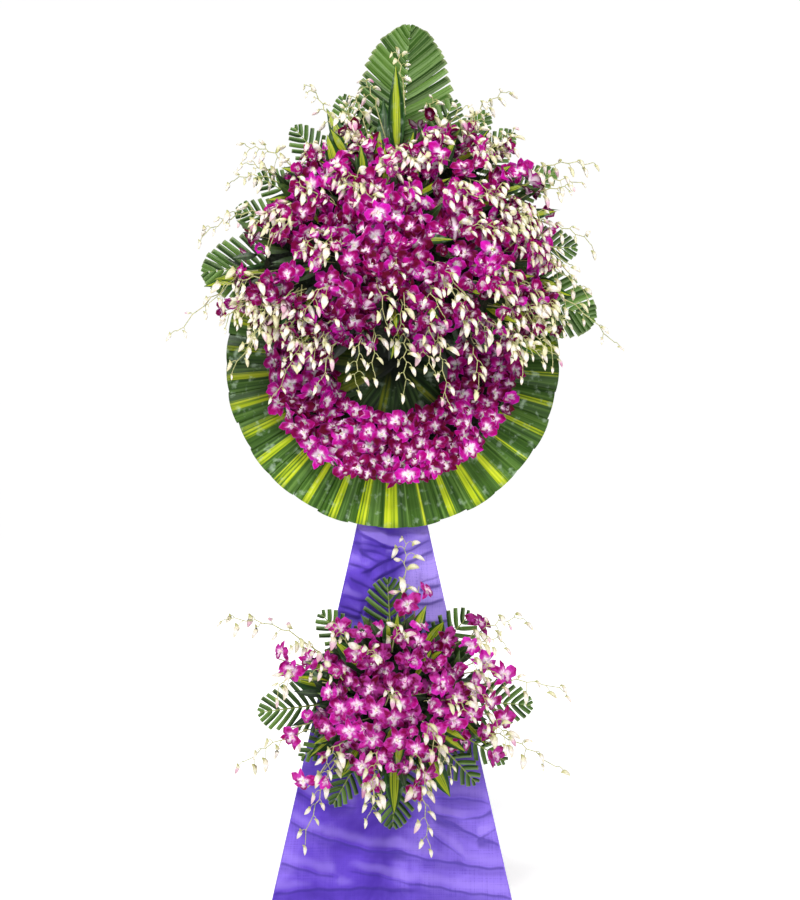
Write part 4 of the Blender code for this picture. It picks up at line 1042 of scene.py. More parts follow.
def upper_blooms(petal, twig, nodes, rng):
    """Open blooms over the upper mound, at three heights in turn, clear of the gaps and
    of a parting under the middle, and single blooms past the mound."""
    angle, share = golden(UPPER_BLOOMS, 1.0, 0.48, rng)
    lift = np.array(UPPER_LIFTS)[np.arange(UPPER_BLOOMS) % 3] + rng.normal(0, 0.005, UPPER_BLOOMS)
    spots = on_mound(angle, share, lift)
    parting = (np.abs(spots[:, 0] + 0.018) < 0.018) & (spots[:, 1] < 1.415)
    strays = np.insert(np.array(UPPER_STRAYS), 2, STRAY_HEIGHT, axis=1)
    spots = np.concatenate([spots[clear_of(spots, UPPER_GAPS) & ~parting], strays])
    facing = turn_out(spots, UPPER, UPPER_CORE, 1.1)
    facing = unit(facing + rng.normal(0, 0.55, facing.shape) + np.array([0, -0.12, 0.10]))
    seats = spots.copy()
    seats[:, :2] = np.array(UPPER) + (spots[:, :2] - np.array(UPPER)) * 0.80
    core = dome_seat(UPPER, UPPER_CORE)(seats[:, 0], seats[:, 1])
    seats[:, 2] = np.minimum(spots[:, 2] - 0.02, core - 0.02)
    grow_blooms("upper_blooms", spots, facing, seats, BLOOM_RADIUS, petal, twig, nodes, rng,
                (0.05, 0.85), 0.20)


def upper_spray_paths(rng):
    """Paths of the short bud sprays over the upper mound. Loose ones are spread evenly
    and head outwards, the others start round the place of their bunch. A path runs
    straight, sags with the square of its length, most where it heads down, sways by
    a sine and rises from the mound. Left out are the paths over a gap and most of
    those that would end in the fringe under the middle."""
    t = np.linspace(0, 1, 9)[None, :]
    turn, begin = golden(LOOSE_SPRAYS, 0.88, 0.5, rng)
    bunch = np.repeat(np.array(UPPER_BUNCHES), BUNCH_SPRAYS, 0)
    start = np.concatenate([on_mound(turn, begin, 0.0)[:, :2],
                            bunch[:, :2] + rng.normal(0, 0.022, (len(bunch), 2))])[:, None]
    way = np.concatenate([turn + rng.normal(0, 0.45, LOOSE_SPRAYS),
                          np.radians(bunch[:, 2]) + rng.normal(0, 0.30, len(bunch))])[:, None]
    start[LOOSE_SPRAYS:, 0] -= ray(way[LOOSE_SPRAYS:, 0], 0.035)[:, :2]
    sprays = len(start)
    hang = 0.25 + 0.5 * (np.sin(way) < 0)
    run = rng.uniform(0.060, 0.110, (sprays, 1))
    u = start[..., 0] + run * t * np.cos(way)
    v = start[..., 1] + run * (t * np.sin(way) - 0.55 * hang * t ** 2)
    away = np.hypot(u - UPPER[0], v - UPPER[1]) / upper_reach(np.arctan2(v - UPPER[1], u - UPPER[0]))
    w = on_mound(0.0, np.minimum(away, 0.98), 0.002)[..., 2] + 0.062 * np.sin(0.5 * math.pi * t ** 0.7)
    sway = rng.uniform(0.002, 0.006, (sprays, 1))
    sway = sway * np.sin(rng.uniform(4, 9, (sprays, 1)) * t + rng.uniform(0, 6, (sprays, 1)))
    u, v = u - sway * np.sin(way), v + sway * np.cos(way)
    paths = np.stack([u, v, w + rng.uniform(0, 0.012, (sprays, 1))], -1)
    fringe = (v[:, -1] < 1.375) & (np.abs(u[:, -1]) < 0.19) & (rng.uniform(0, 1, sprays) < 0.65)
    return paths[~fringe & clear_of(paths[:, 4], UPPER_GAPS) & clear_of(paths[:, -1], UPPER_GAPS)]


def half_open_blooms(sprays, petal, twig, nodes, rng):
    """Half-open blooms in the lower half of most short sprays, which face along their
    spray, a little down and out of the face."""
    opening = sprays[rng.uniform(0, 1, len(sprays)) < HALF_OPEN_SHARE]
    along = unit(opening[:, 4] - opening[:, 2])
    spots = opening[:, 3] + rng.normal(0, 0.004, along.shape) + along * 0.008
    facing = unit(along * 0.9 + np.array([0.0, -0.35, 0.55]) + rng.normal(0, 0.35, along.shape))
    grow_blooms("upper_half_open", spots, facing, opening[:, 2], HALF_OPEN_RADIUS, petal, twig,
                nodes, rng, (0.75, 1.30), 0.0)


def upper_head(petal, bud, twig, filler, stripes, heart):
    """Upper head: a heart, open blooms, short sprays of buds and half-open blooms,
    radiating sprays, and leaves round, under and between them."""
    rng = np.random.default_rng(7)
    nodes = ("upper_orchid_head",)
    profile = [(0.60, 0.1003), (0.90, 0.102)] + [
        (0.92 * math.sin(p), 0.110 + 0.080 * math.cos(p)) for p in np.linspace(1.5, 0.08, 14)]
    piece("upper_heart", [turned(UPPER, profile, *UPPER_CORE[:2], 72, 0.035)], heart, "orchid", nodes)
    upper_blooms(petal, twig, nodes, rng)

    seat = dome_seat(UPPER, UPPER_CORE)
    sprays = upper_spray_paths(rng)
    half_open_blooms(sprays, petal, twig, nodes, rng)
    grown = [bud_sprays(sprays, 5, 0.36, rng), bud_sprays(arch(UPPER_SPRAYS, seat), 9, 0.36, rng),
             bud_sprays(arch(UPPER_RISERS, seat), 7, 0.40, rng, 0.95)]
    piece("upper_buds", [bodies for bodies, _ in grown], bud, "orchid", nodes)
    piece("upper_twigs", [part for _, parts in grown for part in parts], twig, "orchid", nodes)

    tucked_leaves("upper_tucked_leaves", UPPER_TUCKED, lambda u, v: seat(u, v) + 0.030, stripes, nodes, rng)
    collar("upper_collar_leaves", UPPER, UPPER_FOAM, (0.044, 0.092), 54, (0.09, 0.14), filler, nodes, rng)
    for name, count, cover, standoff, shape in (
            ("upper_filler_leaves", 170, filler, -0.012, (0.055, 0.10, 0.016, 0.028)),
            ("upper_striped_filler", 26, stripes, 0.010, (0.07, 0.10, 0.022, 0.034))):
        angle, share = golden(count, 0.98, 0.45, rng)
        roots = on_mound(angle, share * 0.9, standoff)
        out = turn_out(roots, UPPER, UPPER_CORE, 1.0)
        between_leaves(name, angle, roots, out, 0.35, shape, cover, nodes, rng)


def stem_blooms(seat, rng):
    """Places of the blooms along the lower head's flower stems, in two ranks by turns
    on each side, the directions of their stems and the stems' own paths, which rise
    from the core by a quarter wave."""
    spots, tangents, stems = [], [], []
    line = np.linspace(0, 1, 8)
    for u0, v0, u1, v1, count in LOWER_STEMS:
        t = (np.arange(count) + 0.8) / count
        du, dv = u1 - u0, v1 - v0
        length = math.hypot(du, dv)
        side = np.where(np.arange(count) % 2, 1.0, -1.0) * STEM_RANK
        u = u0 + du * t - dv / length * side
        v = v0 + dv * t + du / length * side
        w = seat(u, v) + 0.055 - 0.02 * t + rng.normal(0, 0.006, count)
        spots.append(np.column_stack([u, v, w]))
        tangents.append(np.repeat([[du / length, dv / length, 0.0]], count, 0))
        u, v = u0 + du * line, v0 + dv * line
        w = seat(u, v) - 0.010 + 0.036 * np.sin(0.5 * math.pi * line)
        stems.append(np.column_stack([u, v, w]))
    return spots, tangents, stems


def lower_head(petal, bud, twig, filler, stripes, heart):
    """Lower head: a heart, blooms along flower stems and more between them, short and
    reaching bud sprays, and leaves round, under and between them."""
    rng = np.random.default_rng(23)
    nodes = ("lower_orchid_head",)
    profile = [(0.55, 0.0543), (0.84, 0.056)] + [
        (0.86 * math.sin(p), 0.058 + 0.036 * math.cos(p)) for p in np.linspace(1.5, 0.08, 12)]
    piece("lower_heart", [turned(LOWER, profile, *LOWER_HEART, 56, 0.05, 2)], heart, "orchid", nodes)

    seat = dome_seat(LOWER, LOWER_CORE)
    spots, tangents, stems = stem_blooms(seat, rng)
    angle, share = golden(LOWER_INNER_BLOOMS, 1.0, 0.5, rng)
    inner = around(LOWER, angle, LOWER_INNER_REACH[0] * share, LOWER_INNER_REACH[1] * share, 0.0)
    inner[:, 2] = seat(inner[:, 0], inner[:, 1]) + rng.uniform(0.014, 0.034, LOWER_INNER_BLOOMS)
    spots, tangents = np.concatenate(spots + [inner]), np.concatenate(tangents + [ray(angle)])
    clear = clear_of(spots, LOWER_GAPS)
    spots, tangents = spots[clear], tangents[clear]
    facing = unit(np.array([0.0, -0.05, 1.0]) + tangents * 0.30
                  + turn_out(spots, LOWER, LOWER_CORE, 1.0) * 0.4 + rng.normal(0, 0.40, spots.shape))
    seats = spots - np.array([0, 0, 0.022]) - tangents * 0.012
    grow_blooms("lower_blooms", spots, facing, seats, LOWER_BLOOM_RADIUS, petal, twig, nodes, rng,
                (0.0, 0.6), 0.15)

    near = np.array(LOWER_BUDS)
    t = np.linspace(0, 1, 9)[None, :]
    u, v = (near[:, k, None] + (near[:, k + 2] - near[:, k])[:, None] * t for k in (0, 1))
    v = v + 0.018 * 4 * t * (1 - t)
    w = seat(u, v) + 0.020 + 0.060 * np.sin(0.5 * math.pi * t ** 0.7)
    near_buds, near_twigs = bud_sprays(np.stack([u, v, w], -1), 6, 0.30, rng)
    far_buds, far_twigs = bud_sprays(arch(LOWER_SPRAYS, seat), 9, 0.34, rng, 1.1)
    carried = tubes(on_face(np.array(stems)), np.linspace(*STEM_RADII, 8)[None], 5)
    piece("lower_buds", [near_buds, far_buds], bud, "orchid", nodes)
    piece("lower_twigs", near_twigs + far_twigs + [carried], twig, "orchid", nodes)

    tucked_leaves("lower_tucked_leaves", LOWER_TUCKED, lambda u, v: seat(u, v) + 0.016, stripes, nodes, rng)
    collar("lower_collar_leaves", LOWER, LOWER_FOAM, (0.002, 0.046), 40, (0.06, 0.10), filler, nodes, rng)
    for name, count, cover, lift, shape in (
            ("lower_filler_leaves", 120, filler, 0.0, (0.05, 0.085, 0.016, 0.028)),
            ("lower_striped_filler", 14, stripes, 0.012, (0.07, 0.10, 0.024, 0.036))):
        angle, share = golden(count, 0.95, 0.5, rng)
        height = 0.062 + 0.030 * np.sqrt(np.clip(1 - share ** 2, 0, 1)) + lift
        roots = around(LOWER, angle, 0.175 * share, 0.150 * share, height)
        between_leaves(name, angle, roots, unit(ray(angle, 0.4, 1.0)), 0.40, shape, cover, nodes, rng)


def bloom_ring(petal, twig, heart):
    """Ring of blooms on the lower part of the foam ring, in five staggered rows over
    a curved bed with rounded edges."""
    rng = np.random.default_rng(31)
    nodes = tuple(f"ring_blooms_{part}" for part in range(1, 5))
    begin, end = -math.pi - math.radians(8), math.radians(8)
    path = around(DISC, np.linspace(begin + 0.01, end - 0.01, 60), RING_MIDDLE, RING_MIDDLE, BED_HEIGHT)
    bed = tubes(path[None], BED_HALF_WIDTH, 16, upright=(0, 0, 1), flat=0.070)
    bed["points"] = on_face(bed["points"])
    piece("ring_bed", [bed], heart, "orchid", nodes)
    spots, facing = [], []
    for row, (radius, count) in enumerate(RING_ROWS):
        place = (np.arange(count) + (0.25 if row % 2 else 0.75)) / count
        angle = begin + (end - begin) * place + rng.normal(0, 0.16, count) / count
        far = radius + rng.normal(0, 0.0045, count)
        spots.append(around(DISC, angle, far, far, RING_TOP + rng.uniform(0.014, 0.027, count)))
        facing.append(ray(angle, (radius - RING_MIDDLE) * 7.5, 1.0))
    spots = np.concatenate(spots)
    facing = unit(np.concatenate(facing) + rng.normal(0, 0.36, spots.shape) + np.array([0, -0.04, 0]))
    arm = spots[:, :2] - np.array(DISC)
    far = np.linalg.norm(arm, axis=1)[:, None]
    foot = np.array(DISC) + arm * (RING_MIDDLE + (far - RING_MIDDLE) * 0.8) / far
    seats = np.insert(foot, 2, RING_TOP - 0.003, axis=1)
    grow_blooms("ring_blooms", spots, facing, seats, BLOOM_RADIUS, petal, twig, nodes, rng,
                (0.05, 0.6), 0.05)


# Leaves
def fan(finish):
    """Fan leaves. Across a leaf, its height is a smooth line from 0.12 of the crest
    at the left edge over 1 at the rib to 0.62 at the right edge; the crest grows with
    the radius, and a slow wave runs along the blade."""
    step = 2 * math.pi / FAN_LEAVES
    firsts = [round(part * FAN_LEAVES / FAN_PARTS) for part in range(FAN_PARTS + 1)]
    rng = np.random.default_rng(5)
    s = np.linspace(1, -1, 13)[None, None, :]
    t = np.linspace(0, 1, 18)[None, :, None]
    for part in range(FAN_PARTS):
        leaf = np.arange(firsts[part], firsts[part + 1])[:, None, None]
        count = len(leaf)
        rim = FAN_RADIUS * (1 + 0.006 * np.sin(2.4 * leaf)) * (1 - 0.005 * np.abs(s) ** 3)
        radius = FAN_INNER + (rim - FAN_INNER) * t
        offset = np.where(s < 0, 0.50, 0.565) * s
        angle = -math.pi / 2 + (leaf + offset) * step
        climb = np.where(s < 0, 0.12 + 0.88 * (1 + s) ** 0.85, 1 - 0.38 * np.abs(s) ** 1.5)
        w = 0.0012 + climb * (0.0012 + 0.026 * radius)
        wave = rng.uniform(0, 6, (count, 1, 1))
        w = w + 0.0009 * np.sin(26 * radius + wave + 2.2 * s) * (radius / FAN_RADIUS) * (1 - np.abs(s) ** 4)
        blade = blades(on_face(around(DISC, angle, radius, radius, w)), LEAF_THICK, reach=t,
                       across=s, tone=rng.uniform(0, 1, (count, 1, 1)))
        piece(f"fan_sector_{part + 1}", [blade], finish, "striped_leaf", (f"fan_leaves_{part + 1}",))


def rosette(finish):
    """Broad leaves inside the ring, over the fan: half width by a sine of the length,
    left half low and right half high so that they lap, rising outwards."""
    rng = np.random.default_rng(19)
    s = np.linspace(1, -1, 11)[None, None, :]
    t = np.linspace(0, 1, 16)[None, :, None]
    leaf = np.arange(ROSETTE_LEAVES)[:, None, None]
    near, far = ROSETTE_REACH
    radius = near + (far - near) * t * (1 - 0.05 * s ** 2)
    half = 0.009 + 0.028 * np.sin(0.62 * math.pi * t) ** 0.9
    angle = 2 * math.pi * (leaf + rng.normal(0, 0.08, leaf.shape)) / ROSETTE_LEAVES - 0.3
    climb = np.where(s < 0, 0.10 + 0.90 * (1 + s) ** 0.9, 1 - 0.30 * np.abs(s) ** 1.5)
    w = 0.0052 + 0.0006 * (leaf % 3) + 0.040 * np.abs(radius) + climb * (0.0010 + 0.045 * np.abs(radius))
    w = w + 0.0008 * np.sin(60 * radius + leaf)
    middle = beside(DISC, (np.cos(angle), np.sin(angle)), radius, half * s, w)
    blade = blades(on_face(middle), LEAF_THICK, reach=0.85 * t, across=s,
                   tone=rng.uniform(0, 1, (ROSETTE_LEAVES, 1, 1)))
    piece("inner_rosette", [blade], finish, "striped_leaf",
          tuple(f"fan_leaves_{part + 1}" for part in range(FAN_PARTS)))


def foliage_line(middle, foam, tip, half_width):
    """Unit direction of a leaf from its head's middle, where its root meets the foam
    block's side, and its whole length."""
    du, dv = tip[0] - middle[0], tip[1] - middle[1]
    full = math.hypot(du, dv)
    du, dv = du / full, dv / full
    through_side = (foam[0] + SEAT_GAP + half_width * abs(dv)) / max(abs(du), 1e-6)
    through_end = (foam[1] + SEAT_GAP + half_width * abs(du)) / max(abs(dv), 1e-6)
    return (du, dv), min(through_side, through_end), full


def palm_frond(name, middle, foam, level, bend_back, row, finish, rng):
    """A trimmed frond. Its rib runs from the foam and bends back with the square of
    its length. Leaflets leave it on both sides at an angle that closes towards the
    tip, and each is cut where its line meets an oval outline. A leaflet is a strip
    folded along its middle."""
    way, start, full = foliage_line(middle, foam, row[:2], RIB_RADII[0])
    width = row[2]
    broad = width > BROAD_FROND
    first = start + 0.10 * (full - start)
    pitch = BROAD_PITCH if broad else FROND_PITCH
    pairs = round((full - first) / pitch)
    t = (np.arange(pairs) + 0.3) / pairs
    base = np.tile(first + (full - RIB_SHORT - first) * t, 2)
    side = np.repeat([1.0, -1.0], pairs)
    count = 2 * pairs
    wide, narrow = LEAFLET_ANGLES
    lean = np.radians(np.tile(wide - (wide - narrow) * t ** 1.4, 2) + rng.normal(0, 1.6, count))
    ray = np.linspace(0, 0.6 * width + 0.03, 120)[None]
    widest = first + 0.42 * (full - first)
    ahead = base[:, None] + ray * np.cos(lean)[:, None]
    span = np.where(ahead > widest, full - widest, 1.25 * (widest - first))
    outline = 0.5 * width * np.sqrt(np.clip(1 - ((ahead - widest) / span) ** 2, 0, 1))
    over = ray * np.sin(lean)[:, None] > outline
    length = ray[0][np.argmax(over, axis=1)] * (1 + rng.normal(0, 0.02, count))
    keep = length > 0.006
    base, side, lean, length = (x[keep][:, None, None] for x in (base, side, lean, length))
    count = len(base)
    a = np.linspace(0, 1, 6)[None, :, None]
    c = np.array([-1.0, -0.5, 0.0, 0.5, 1.0])[None, None, :]
    waist = 0.15 if broad else 0.45
    half = pitch * (0.54 if broad else 0.42 if width > 0.16 else 0.33) * (1 - 0.18 * a)
    half = half * (1 - waist + waist * np.minimum(1, a * 3.5))
    half = half * np.minimum(1, length / 0.026) ** 0.7
    bow = 0.03 * length * 4 * a * (1 - a)
    distance = base + length * a * np.cos(lean) + np.sin(lean) * c * half * side - bow * np.sin(lean)
    off = side * length * a * np.sin(lean) - np.cos(lean) * c * half
    fold = rng.uniform(0.35, 0.70, (count, 1, 1))
    tilt = rng.normal(0, 0.10, (count, 1, 1))
    w = (level - bend_back * (np.maximum(0, distance - start) / BEND_LENGTH) ** 2 - 0.08 * np.abs(off)
         + (1 - np.abs(c)) * half * fold + c * half * tilt)
    leaflets = blades(on_face(beside(middle, way, distance, off, w)), LEAFLET_THICK, reach=a,
                      across=c, tone=rng.uniform(0, 1, (count, 1, 1)), lobe=0.0)
    d = np.linspace(start, full - RIB_SHORT, 22)
    rib = beside(middle, way, d, 0.0, level - bend_back * ((d - start) / BEND_LENGTH) ** 2 + 0.0006)
    ribs = tubes(on_face(rib)[None], np.linspace(*RIB_RADII, 22)[None], 7, lobe=1.0, reach=0.5,
                 across=0.5, side=1.0, tone=0.5)
    piece(name + "_leaflets", [leaflets, ribs], finish, "frond", (name,))


def strap_leaf(name, middle, foam, level, bend_back, row, finish, rng):
    """A striped leaf: half width by a sine of the length to the 1.2, its halves
    folded down from the rib, with a slow wave along both edges."""
    way, start, full = foliage_line(middle, foam, row[:2], STRAP_ROOT)
    width, tone = row[2], row[4]
    t = np.linspace(0, 1, 26)[None, :, None]
    s = np.linspace(-1, 1, 9)[None, None, :]
    distance = start + (full - start) * t
    half = np.maximum(0.0010, STRAP_ROOT * (1 - t) + 0.50 * width * np.sin(np.pi * t ** 1.2))
    wave = 0.10 * half * np.sin(15 * t + rng.uniform(0, 6) + 2 * s) * np.abs(s) ** 2
    w = level - bend_back * ((distance - start) / BEND_LENGTH) ** 2 - 0.14 * half * np.abs(s) ** 1.3 + wave
    blade = blades(on_face(beside(middle, way, distance, -s * half, w)), STRAP_THICK, reach=t,
                   across=s, tone=tone)
    piece(name + "_blade", [blade], finish, "striped_leaf", (name,))


# Cloth
# Folds: start u, v, end u, v, sag of the middle, width and height.
SKIRT_FOLDS = (
    (-0.246, 0.217, 0.028, 0.144, 0.018, 0.050, 0.0080), (0.000, 0.149, 0.278, 0.106, 0.007, 0.040, 0.0075),
    (0.088, 0.235, 0.246, 0.239, 0.016, 0.030, 0.0065), (0.077, 0.267, 0.246, 0.249, -0.007, 0.024, 0.0055),
    (0.090, 0.230, 0.260, 0.153, 0.000, 0.014, 0.0075), (0.083, 0.192, 0.164, 0.135, 0.000, 0.040, 0.0080),
    (0.199, 0.171, 0.260, 0.208, 0.000, 0.016, 0.0055), (-0.097, 0.103, 0.282, 0.040, 0.005, 0.045, 0.0055),
    (-0.300, 0.047, 0.042, 0.058, -0.009, 0.050, 0.0045),
    (-0.283, 0.131, -0.130, 0.090, 0.007, 0.035, 0.0045),
    (-0.224, 0.280, -0.084, 0.244, 0.009, 0.030, 0.0045),
    (-0.314, 0.005, 0.111, -0.013, 0.014, 0.050, 0.0050),
    (-0.028, -0.040, 0.309, -0.063, 0.011, 0.050, 0.0060),
    (-0.327, -0.085, 0.018, -0.098, 0.009, 0.050, 0.0050),
)
NECK_FOLDS = (
    (-0.110, 0.900, 0.023, 0.840, 0.005, 0.026, 0.0085),
    (-0.072, 0.789, 0.104, 0.876, 0.002, 0.016, 0.0080),
    (-0.048, 0.772, 0.113, 0.852, 0.002, 0.030, 0.0065),
    (-0.076, 0.843, 0.004, 0.819, -0.007, 0.014, 0.0060),
    (-0.074, 0.836, -0.012, 0.810, 0.002, 0.014, 0.0060),
    (-0.109, 0.817, -0.050, 0.793, 0.002, 0.016, 0.0070),
    (0.066, 0.765, 0.123, 0.789, 0.000, 0.022, 0.0060), (0.066, 0.746, 0.127, 0.765, 0.000, 0.018, 0.0065),
    (-0.100, 0.777, -0.034, 0.748, 0.002, 0.024, 0.0055),
    (-0.142, 0.720, -0.071, 0.697, 0.002, 0.022, 0.0065),
    (-0.147, 0.702, -0.076, 0.683, 0.002, 0.016, 0.0055),
    (0.018, 0.718, 0.141, 0.730, 0.007, 0.030, 0.0050),
    (-0.138, 0.746, -0.048, 0.720, 0.005, 0.024, 0.0050),
    (-0.100, 0.867, -0.015, 0.848, 0.002, 0.016, 0.0050),
    (-0.161, 0.655, 0.023, 0.641, 0.007, 0.030, 0.0050), (0.009, 0.666, 0.160, 0.683, 0.005, 0.024, 0.0050),
)


def wrapped_cloth(name, node, span, folds, folds_end, finish):
    """A sheet round both front legs. Its section runs forward over each leg's outer
    side, round a corner and across the front. Each fold is a lap on a curved line
    over the front, soft above and steep below, that fades at its two ends, and all
    fade out below the height where the folds end."""
    low, high = span
    v = np.linspace(low, high, round(380 * (high - low)))[:, None]
    edge = HALF_SPREAD - SPREAD_LOSS * v
    s = np.linspace(-1, 1, 171)[None, :]
    flat_edge = edge - CORNER
    front_u = s * flat_edge
    swell = 0.0014 + 0.0013 * np.sin(4 * s + 17 * v) * np.sin(29 * v - 3 * s)
    crest = 0 * swell
    for u0, v0, u1, v1, sag, wide, tall in folds:
        share = (front_u - u0) / (u1 - u0)
        line = v0 + (v1 - v0) * share - sag * 4 * share * (1 - share)
        line = line + 0.0016 * np.sin(48 * front_u + 90 * v0) + 0.0010 * np.sin(131 * front_u + 300 * v1)
        off = v - line
        ends = np.clip(share / 0.16 + 0.5, 0, 1) * np.clip((1 - share) / 0.16 + 0.5, 0, 1)
        ends = ends * ends * (3 - 2 * ends)
        lap = np.where(off < 0, np.exp(-(off / 0.0075) ** 2), np.exp(-np.abs(off / wide) ** 1.3))
        swell = np.maximum(swell, tall * lap * ends) + 0.20 * tall * lap * ends
        # Crest: painted highlight above each fold's line and painted shadow below it, read by the cloth's
        # finish.
        crest = crest + ends * (0.42 * np.exp(-((off - 0.014) / 0.016) ** 2)
                                - 0.8 * np.exp(-((off + 0.0045) / 0.0034) ** 2)
                                - 0.5 * np.exp(-((off + 0.015) / 0.015) ** 2))
    fade = np.clip((folds_end - v) / 0.05, 0, 1)
    swell, crest = np.maximum(swell, 0) * fade, crest * fade
    back = LEG_FRONT - BATTEN
    round_in = np.linspace(0, 0.5 * math.pi, 5)[None, 1:-1]
    front_w = CLOTH_BASE + swell * (1 - 0.75 * np.abs(s) ** 14)
    left_w, right_w = front_w[:, :1] - CORNER, front_w[:, -1:] - CORNER
    rise = np.linspace(0, 1, 6)[None, :]
    turn_u, turn_w = CORNER * np.sin(round_in), CORNER * np.cos(round_in)
    u = np.concatenate([-edge + 0 * rise, -flat_edge - turn_u[:, ::-1], front_u,
                        flat_edge + turn_u, edge + 0 * rise], 1)
    w = np.concatenate([back + (left_w - back) * rise, left_w + turn_w[:, ::-1], front_w,
                        right_w + turn_w, back + (right_w - back) * rise[:, ::-1]], 1)
    extra = (u.shape[1] - s.shape[1]) // 2
    spots = np.stack([u, v + 0 * u, w], -1)
    run = np.cumsum(np.linalg.norm(np.diff(spots, axis=1, prepend=spots[:, :1]), axis=2), 1)
    climb = np.cumsum(np.linalg.norm(np.diff(spots, axis=0, prepend=spots[:1]), axis=2), 0)
    part = blades(on_face(spots)[None], CLOTH_THICK, wide=run[None] - 0.5 * run[:, -1:],
                  long=climb[None], crest=np.pad(crest, ((0, 0), (extra, extra)))[None])
    item = piece(name, [part], finish, "violet_cloth", (node,), 80)


# Battens and blocks
def batten(node, finish):
    """A merged copy of a batten's solid with its edges rounded."""
    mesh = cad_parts[node].data.copy()
    mesh.materials.clear()
    shape = bmesh.new()
    shape.from_mesh(mesh)
    bmesh.ops.remove_doubles(shape, verts=shape.verts, dist=0.00002)
    bmesh.ops.dissolve_limit(shape, angle_limit=math.radians(1), verts=shape.verts, edges=shape.edges)
    shape.to_mesh(mesh)
    shape.free()
    mesh.materials.append(finish)
    item = new_object(node + "_batten", mesh)
    bevel = item.modifiers.new("rounded edges", "BEVEL")
    bevel.width, bevel.segments, bevel.limit_method = EDGE_ROUND, 2, "ANGLE"
    settle(item, "easel_wood", node)


def dress(node, finish):
    """A solid that keeps its own shape gets its finish."""
    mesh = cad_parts[node].data
    mesh.materials.clear()
    mesh.materials.append(finish)


# Floor, light and camera
def studio_mesh(name, shape, finish):
    mesh = bpy.data.meshes.new(name)
    shape.to_mesh(mesh)
    shape.free()
    mesh.materials.append(finish)
    return new_object(name, mesh)


def studio_floor():
    """A pale disc just under the feet that glows more away from the wreath."""
    paint = Paint("studio_floor", 0.9, Emission_Strength=1.0)
    speck = paint.noise(paint.place(), 3, 2)
    away = paint.add("ShaderNodeVectorMath", {"operation": "LENGTH"}, {0: paint.place()}, "Value")
    paint.shine(paint.mix(rgb(196, 196, 196), rgb(252, 252, 252), paint.step(away, 0.3, 2.0)))
    pale = paint.finish(paint.mix(rgb(240, 240, 240), rgb(246, 246, 246), speck))
    shape = bmesh.new()
    bmesh.ops.create_circle(shape, cap_ends=True, segments=96, radius=FLOOR_RADIUS)
    floor = studio_mesh("studio_floor", shape, pale)
    floor.location.z = -FLOOR_DROP


def studio_backdrop():
    """A glowing ball round everything that only the camera sees."""
    glow = Paint("studio_backdrop", 1.0, Emission_Color=(1, 1, 1, 1), Emission_Strength=1.0)
    haze = glow.noise(glow.place(), 0.05, 1)
    shell = glow.finish(glow.mix(rgb(2, 2, 2), rgb(4, 4, 4), haze))
    shape = bmesh.new()
    bmesh.ops.create_uvsphere(shape, u_segments=48, v_segments=24, radius=BACKDROP_RADIUS)
    bmesh.ops.reverse_faces(shape, faces=shape.faces)
    backdrop = studio_mesh("studio_backdrop", shape, shell)
    backdrop.visible_diffuse = backdrop.visible_glossy = backdrop.visible_shadow = False


def light_and_camera():
    """Soft light from all round, a large light over the front left, a weaker one low on
    the right, and a camera that looks level at the wreath."""
    world = bpy.data.worlds.new("studio_air")
    world.use_nodes = True
    air = world.node_tree.nodes["Background"]
    air.inputs["Color"].default_value = (1.0, 1.0, 1.0, 1.0)
    air.inputs["Strength"].default_value = AIR_STRENGTH
    bpy.context.scene.world = world
    for name, place, size, power in LIGHTS:
        lamp = bpy.data.lights.new(name, "AREA")
        lamp.size, lamp.energy = size, power
        item = new_object(name, lamp)
        item.location = place
        aim = np.array(LIGHT_AIM) - np.array(place)
        item.rotation_euler = (math.atan2(math.hypot(aim[0], aim[1]), -aim[2]), 0,
                               math.atan2(aim[1], aim[0]) - 0.5 * math.pi)
    bpy.context.scene.view_settings.view_transform = "Standard"

    lens = bpy.data.cameras.new("camera")
    lens.lens, lens.sensor_width = LENS, 36.0
    camera = new_object("camera", lens)
    camera.location = (CAMERA[0] + SHIFT_X, CAMERA[1] + SHIFT_Y, CAMERA[2])
    camera.rotation_euler = (0.5 * math.pi, 0, 0)
    bpy.context.scene.camera = camera


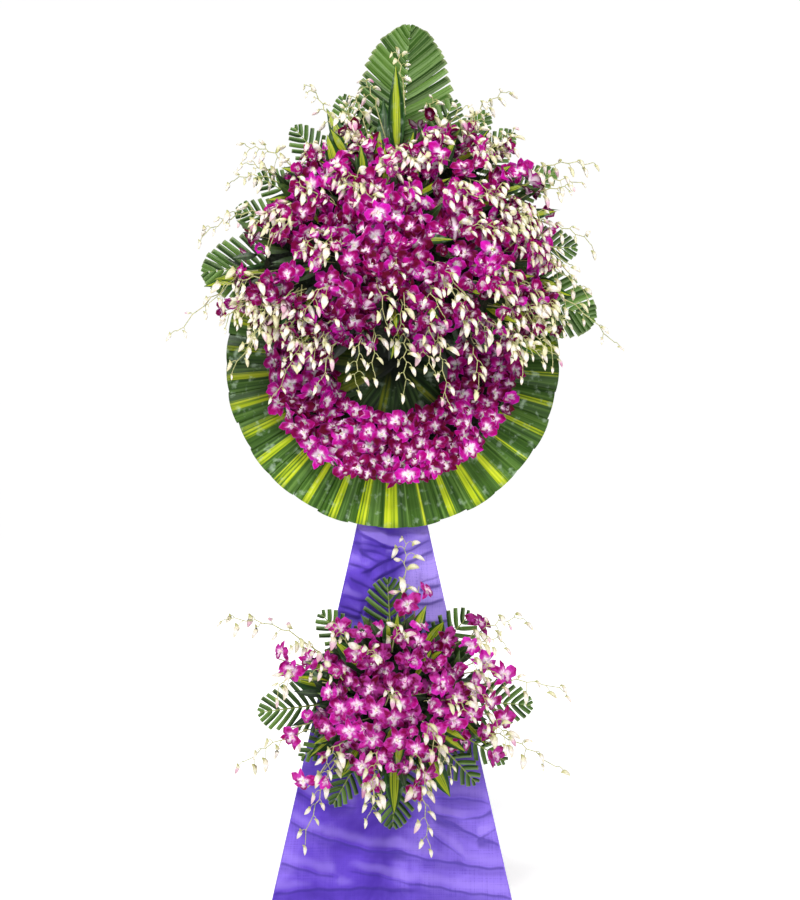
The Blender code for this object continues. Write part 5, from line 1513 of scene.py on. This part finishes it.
# The whole wreath
def easel_and_cloth():
    for finish, nodes in (
            (wood_finish("pine_upright", (30, 30, 1.6)), ("leg_left", "leg_right", "leg_back")),
            (wood_finish("pine_level", (1.6, 30, 30)), ("crossbar_low", "crossbar_mid", "crossbar_top")),
            (wood_finish("pine_lengthwise", (30, 1.6, 30)), ("stretcher",))):
        for node in nodes:
            batten(node, finish)
    violet = cloth_finish()
    wrapped_cloth("skirt_sheet", "skirt_cloth", SKIRT_SPAN, SKIRT_FOLDS, SKIRT_FOLDS_END, violet)
    wrapped_cloth("neck_sheet", "neck_cloth", NECK_SPAN, NECK_FOLDS, NECK_FOLDS_END, violet)


def fronds_and_straps():
    """Fronds and striped leaves of both heads, each over its own solid."""
    palm = frond_finish()
    striped = striped_finish("strap_leaf", 0.50, 0.40, ((14, 44, 10), (32, 74, 22), (64, 108, 44)),
                             glow=0.90)
    rng = np.random.default_rng(13)
    for kind, middle, foam_half, levels, bend_back, fronds, leaves in (
            ("upper", UPPER, UPPER_FOAM, UPPER_LEVELS, UPPER_BEND, UPPER_FRONDS, UPPER_LEAVES),
            ("lower", LOWER, LOWER_FOAM, LOWER_LEVELS, LOWER_BEND, LOWER_FRONDS, LOWER_LEAVES)):
        for shape, grow, rows, finish in (("frond", palm_frond, fronds, palm),
                                          ("leaf", strap_leaf, leaves, striped)):
            for index, row in enumerate(rows):
                grow(f"{kind}_{shape}_{index + 1}", middle, foam_half, levels[row[3]], bend_back, row,
                     finish, rng)


def main():
    studio_floor()
    studio_backdrop()
    light_and_camera()
    easel_and_cloth()

    foam = foam_finish()
    for node in ("ring_foam", "upper_foam", "lower_foam"):
        dress(node, foam)
    dress("backing_board", board_finish())
    dress("lower_tray", tray_finish())

    fan(striped_finish("fan_leaf", 0.31, 0.40, ((36, 68, 8), (64, 100, 30), (102, 138, 60)), painted_top_shade=0.56))
    rosette(striped_finish("rosette_leaf", 0.26, 1.00, ((14, 34, 10), (54, 90, 30), (112, 144, 80)),
                           glow=0.90, shade=0.97, painted_top_shade=0.96))
    petal, bud, twig = orchid_finish(), bud_finish(), twig_finish()
    filler, heart = filler_finish(), heart_finish()
    between = striped_finish("filler_stripe", 0.50, 0.40, ((10, 34, 8), (26, 60, 16), (58, 92, 30)),
                             glow=0.80)
    bloom_ring(petal, twig, heart)
    upper_head(petal, bud, twig, filler, between, heart)
    lower_head(petal, bud, twig, filler, between, heart)
    fronds_and_straps()


main()
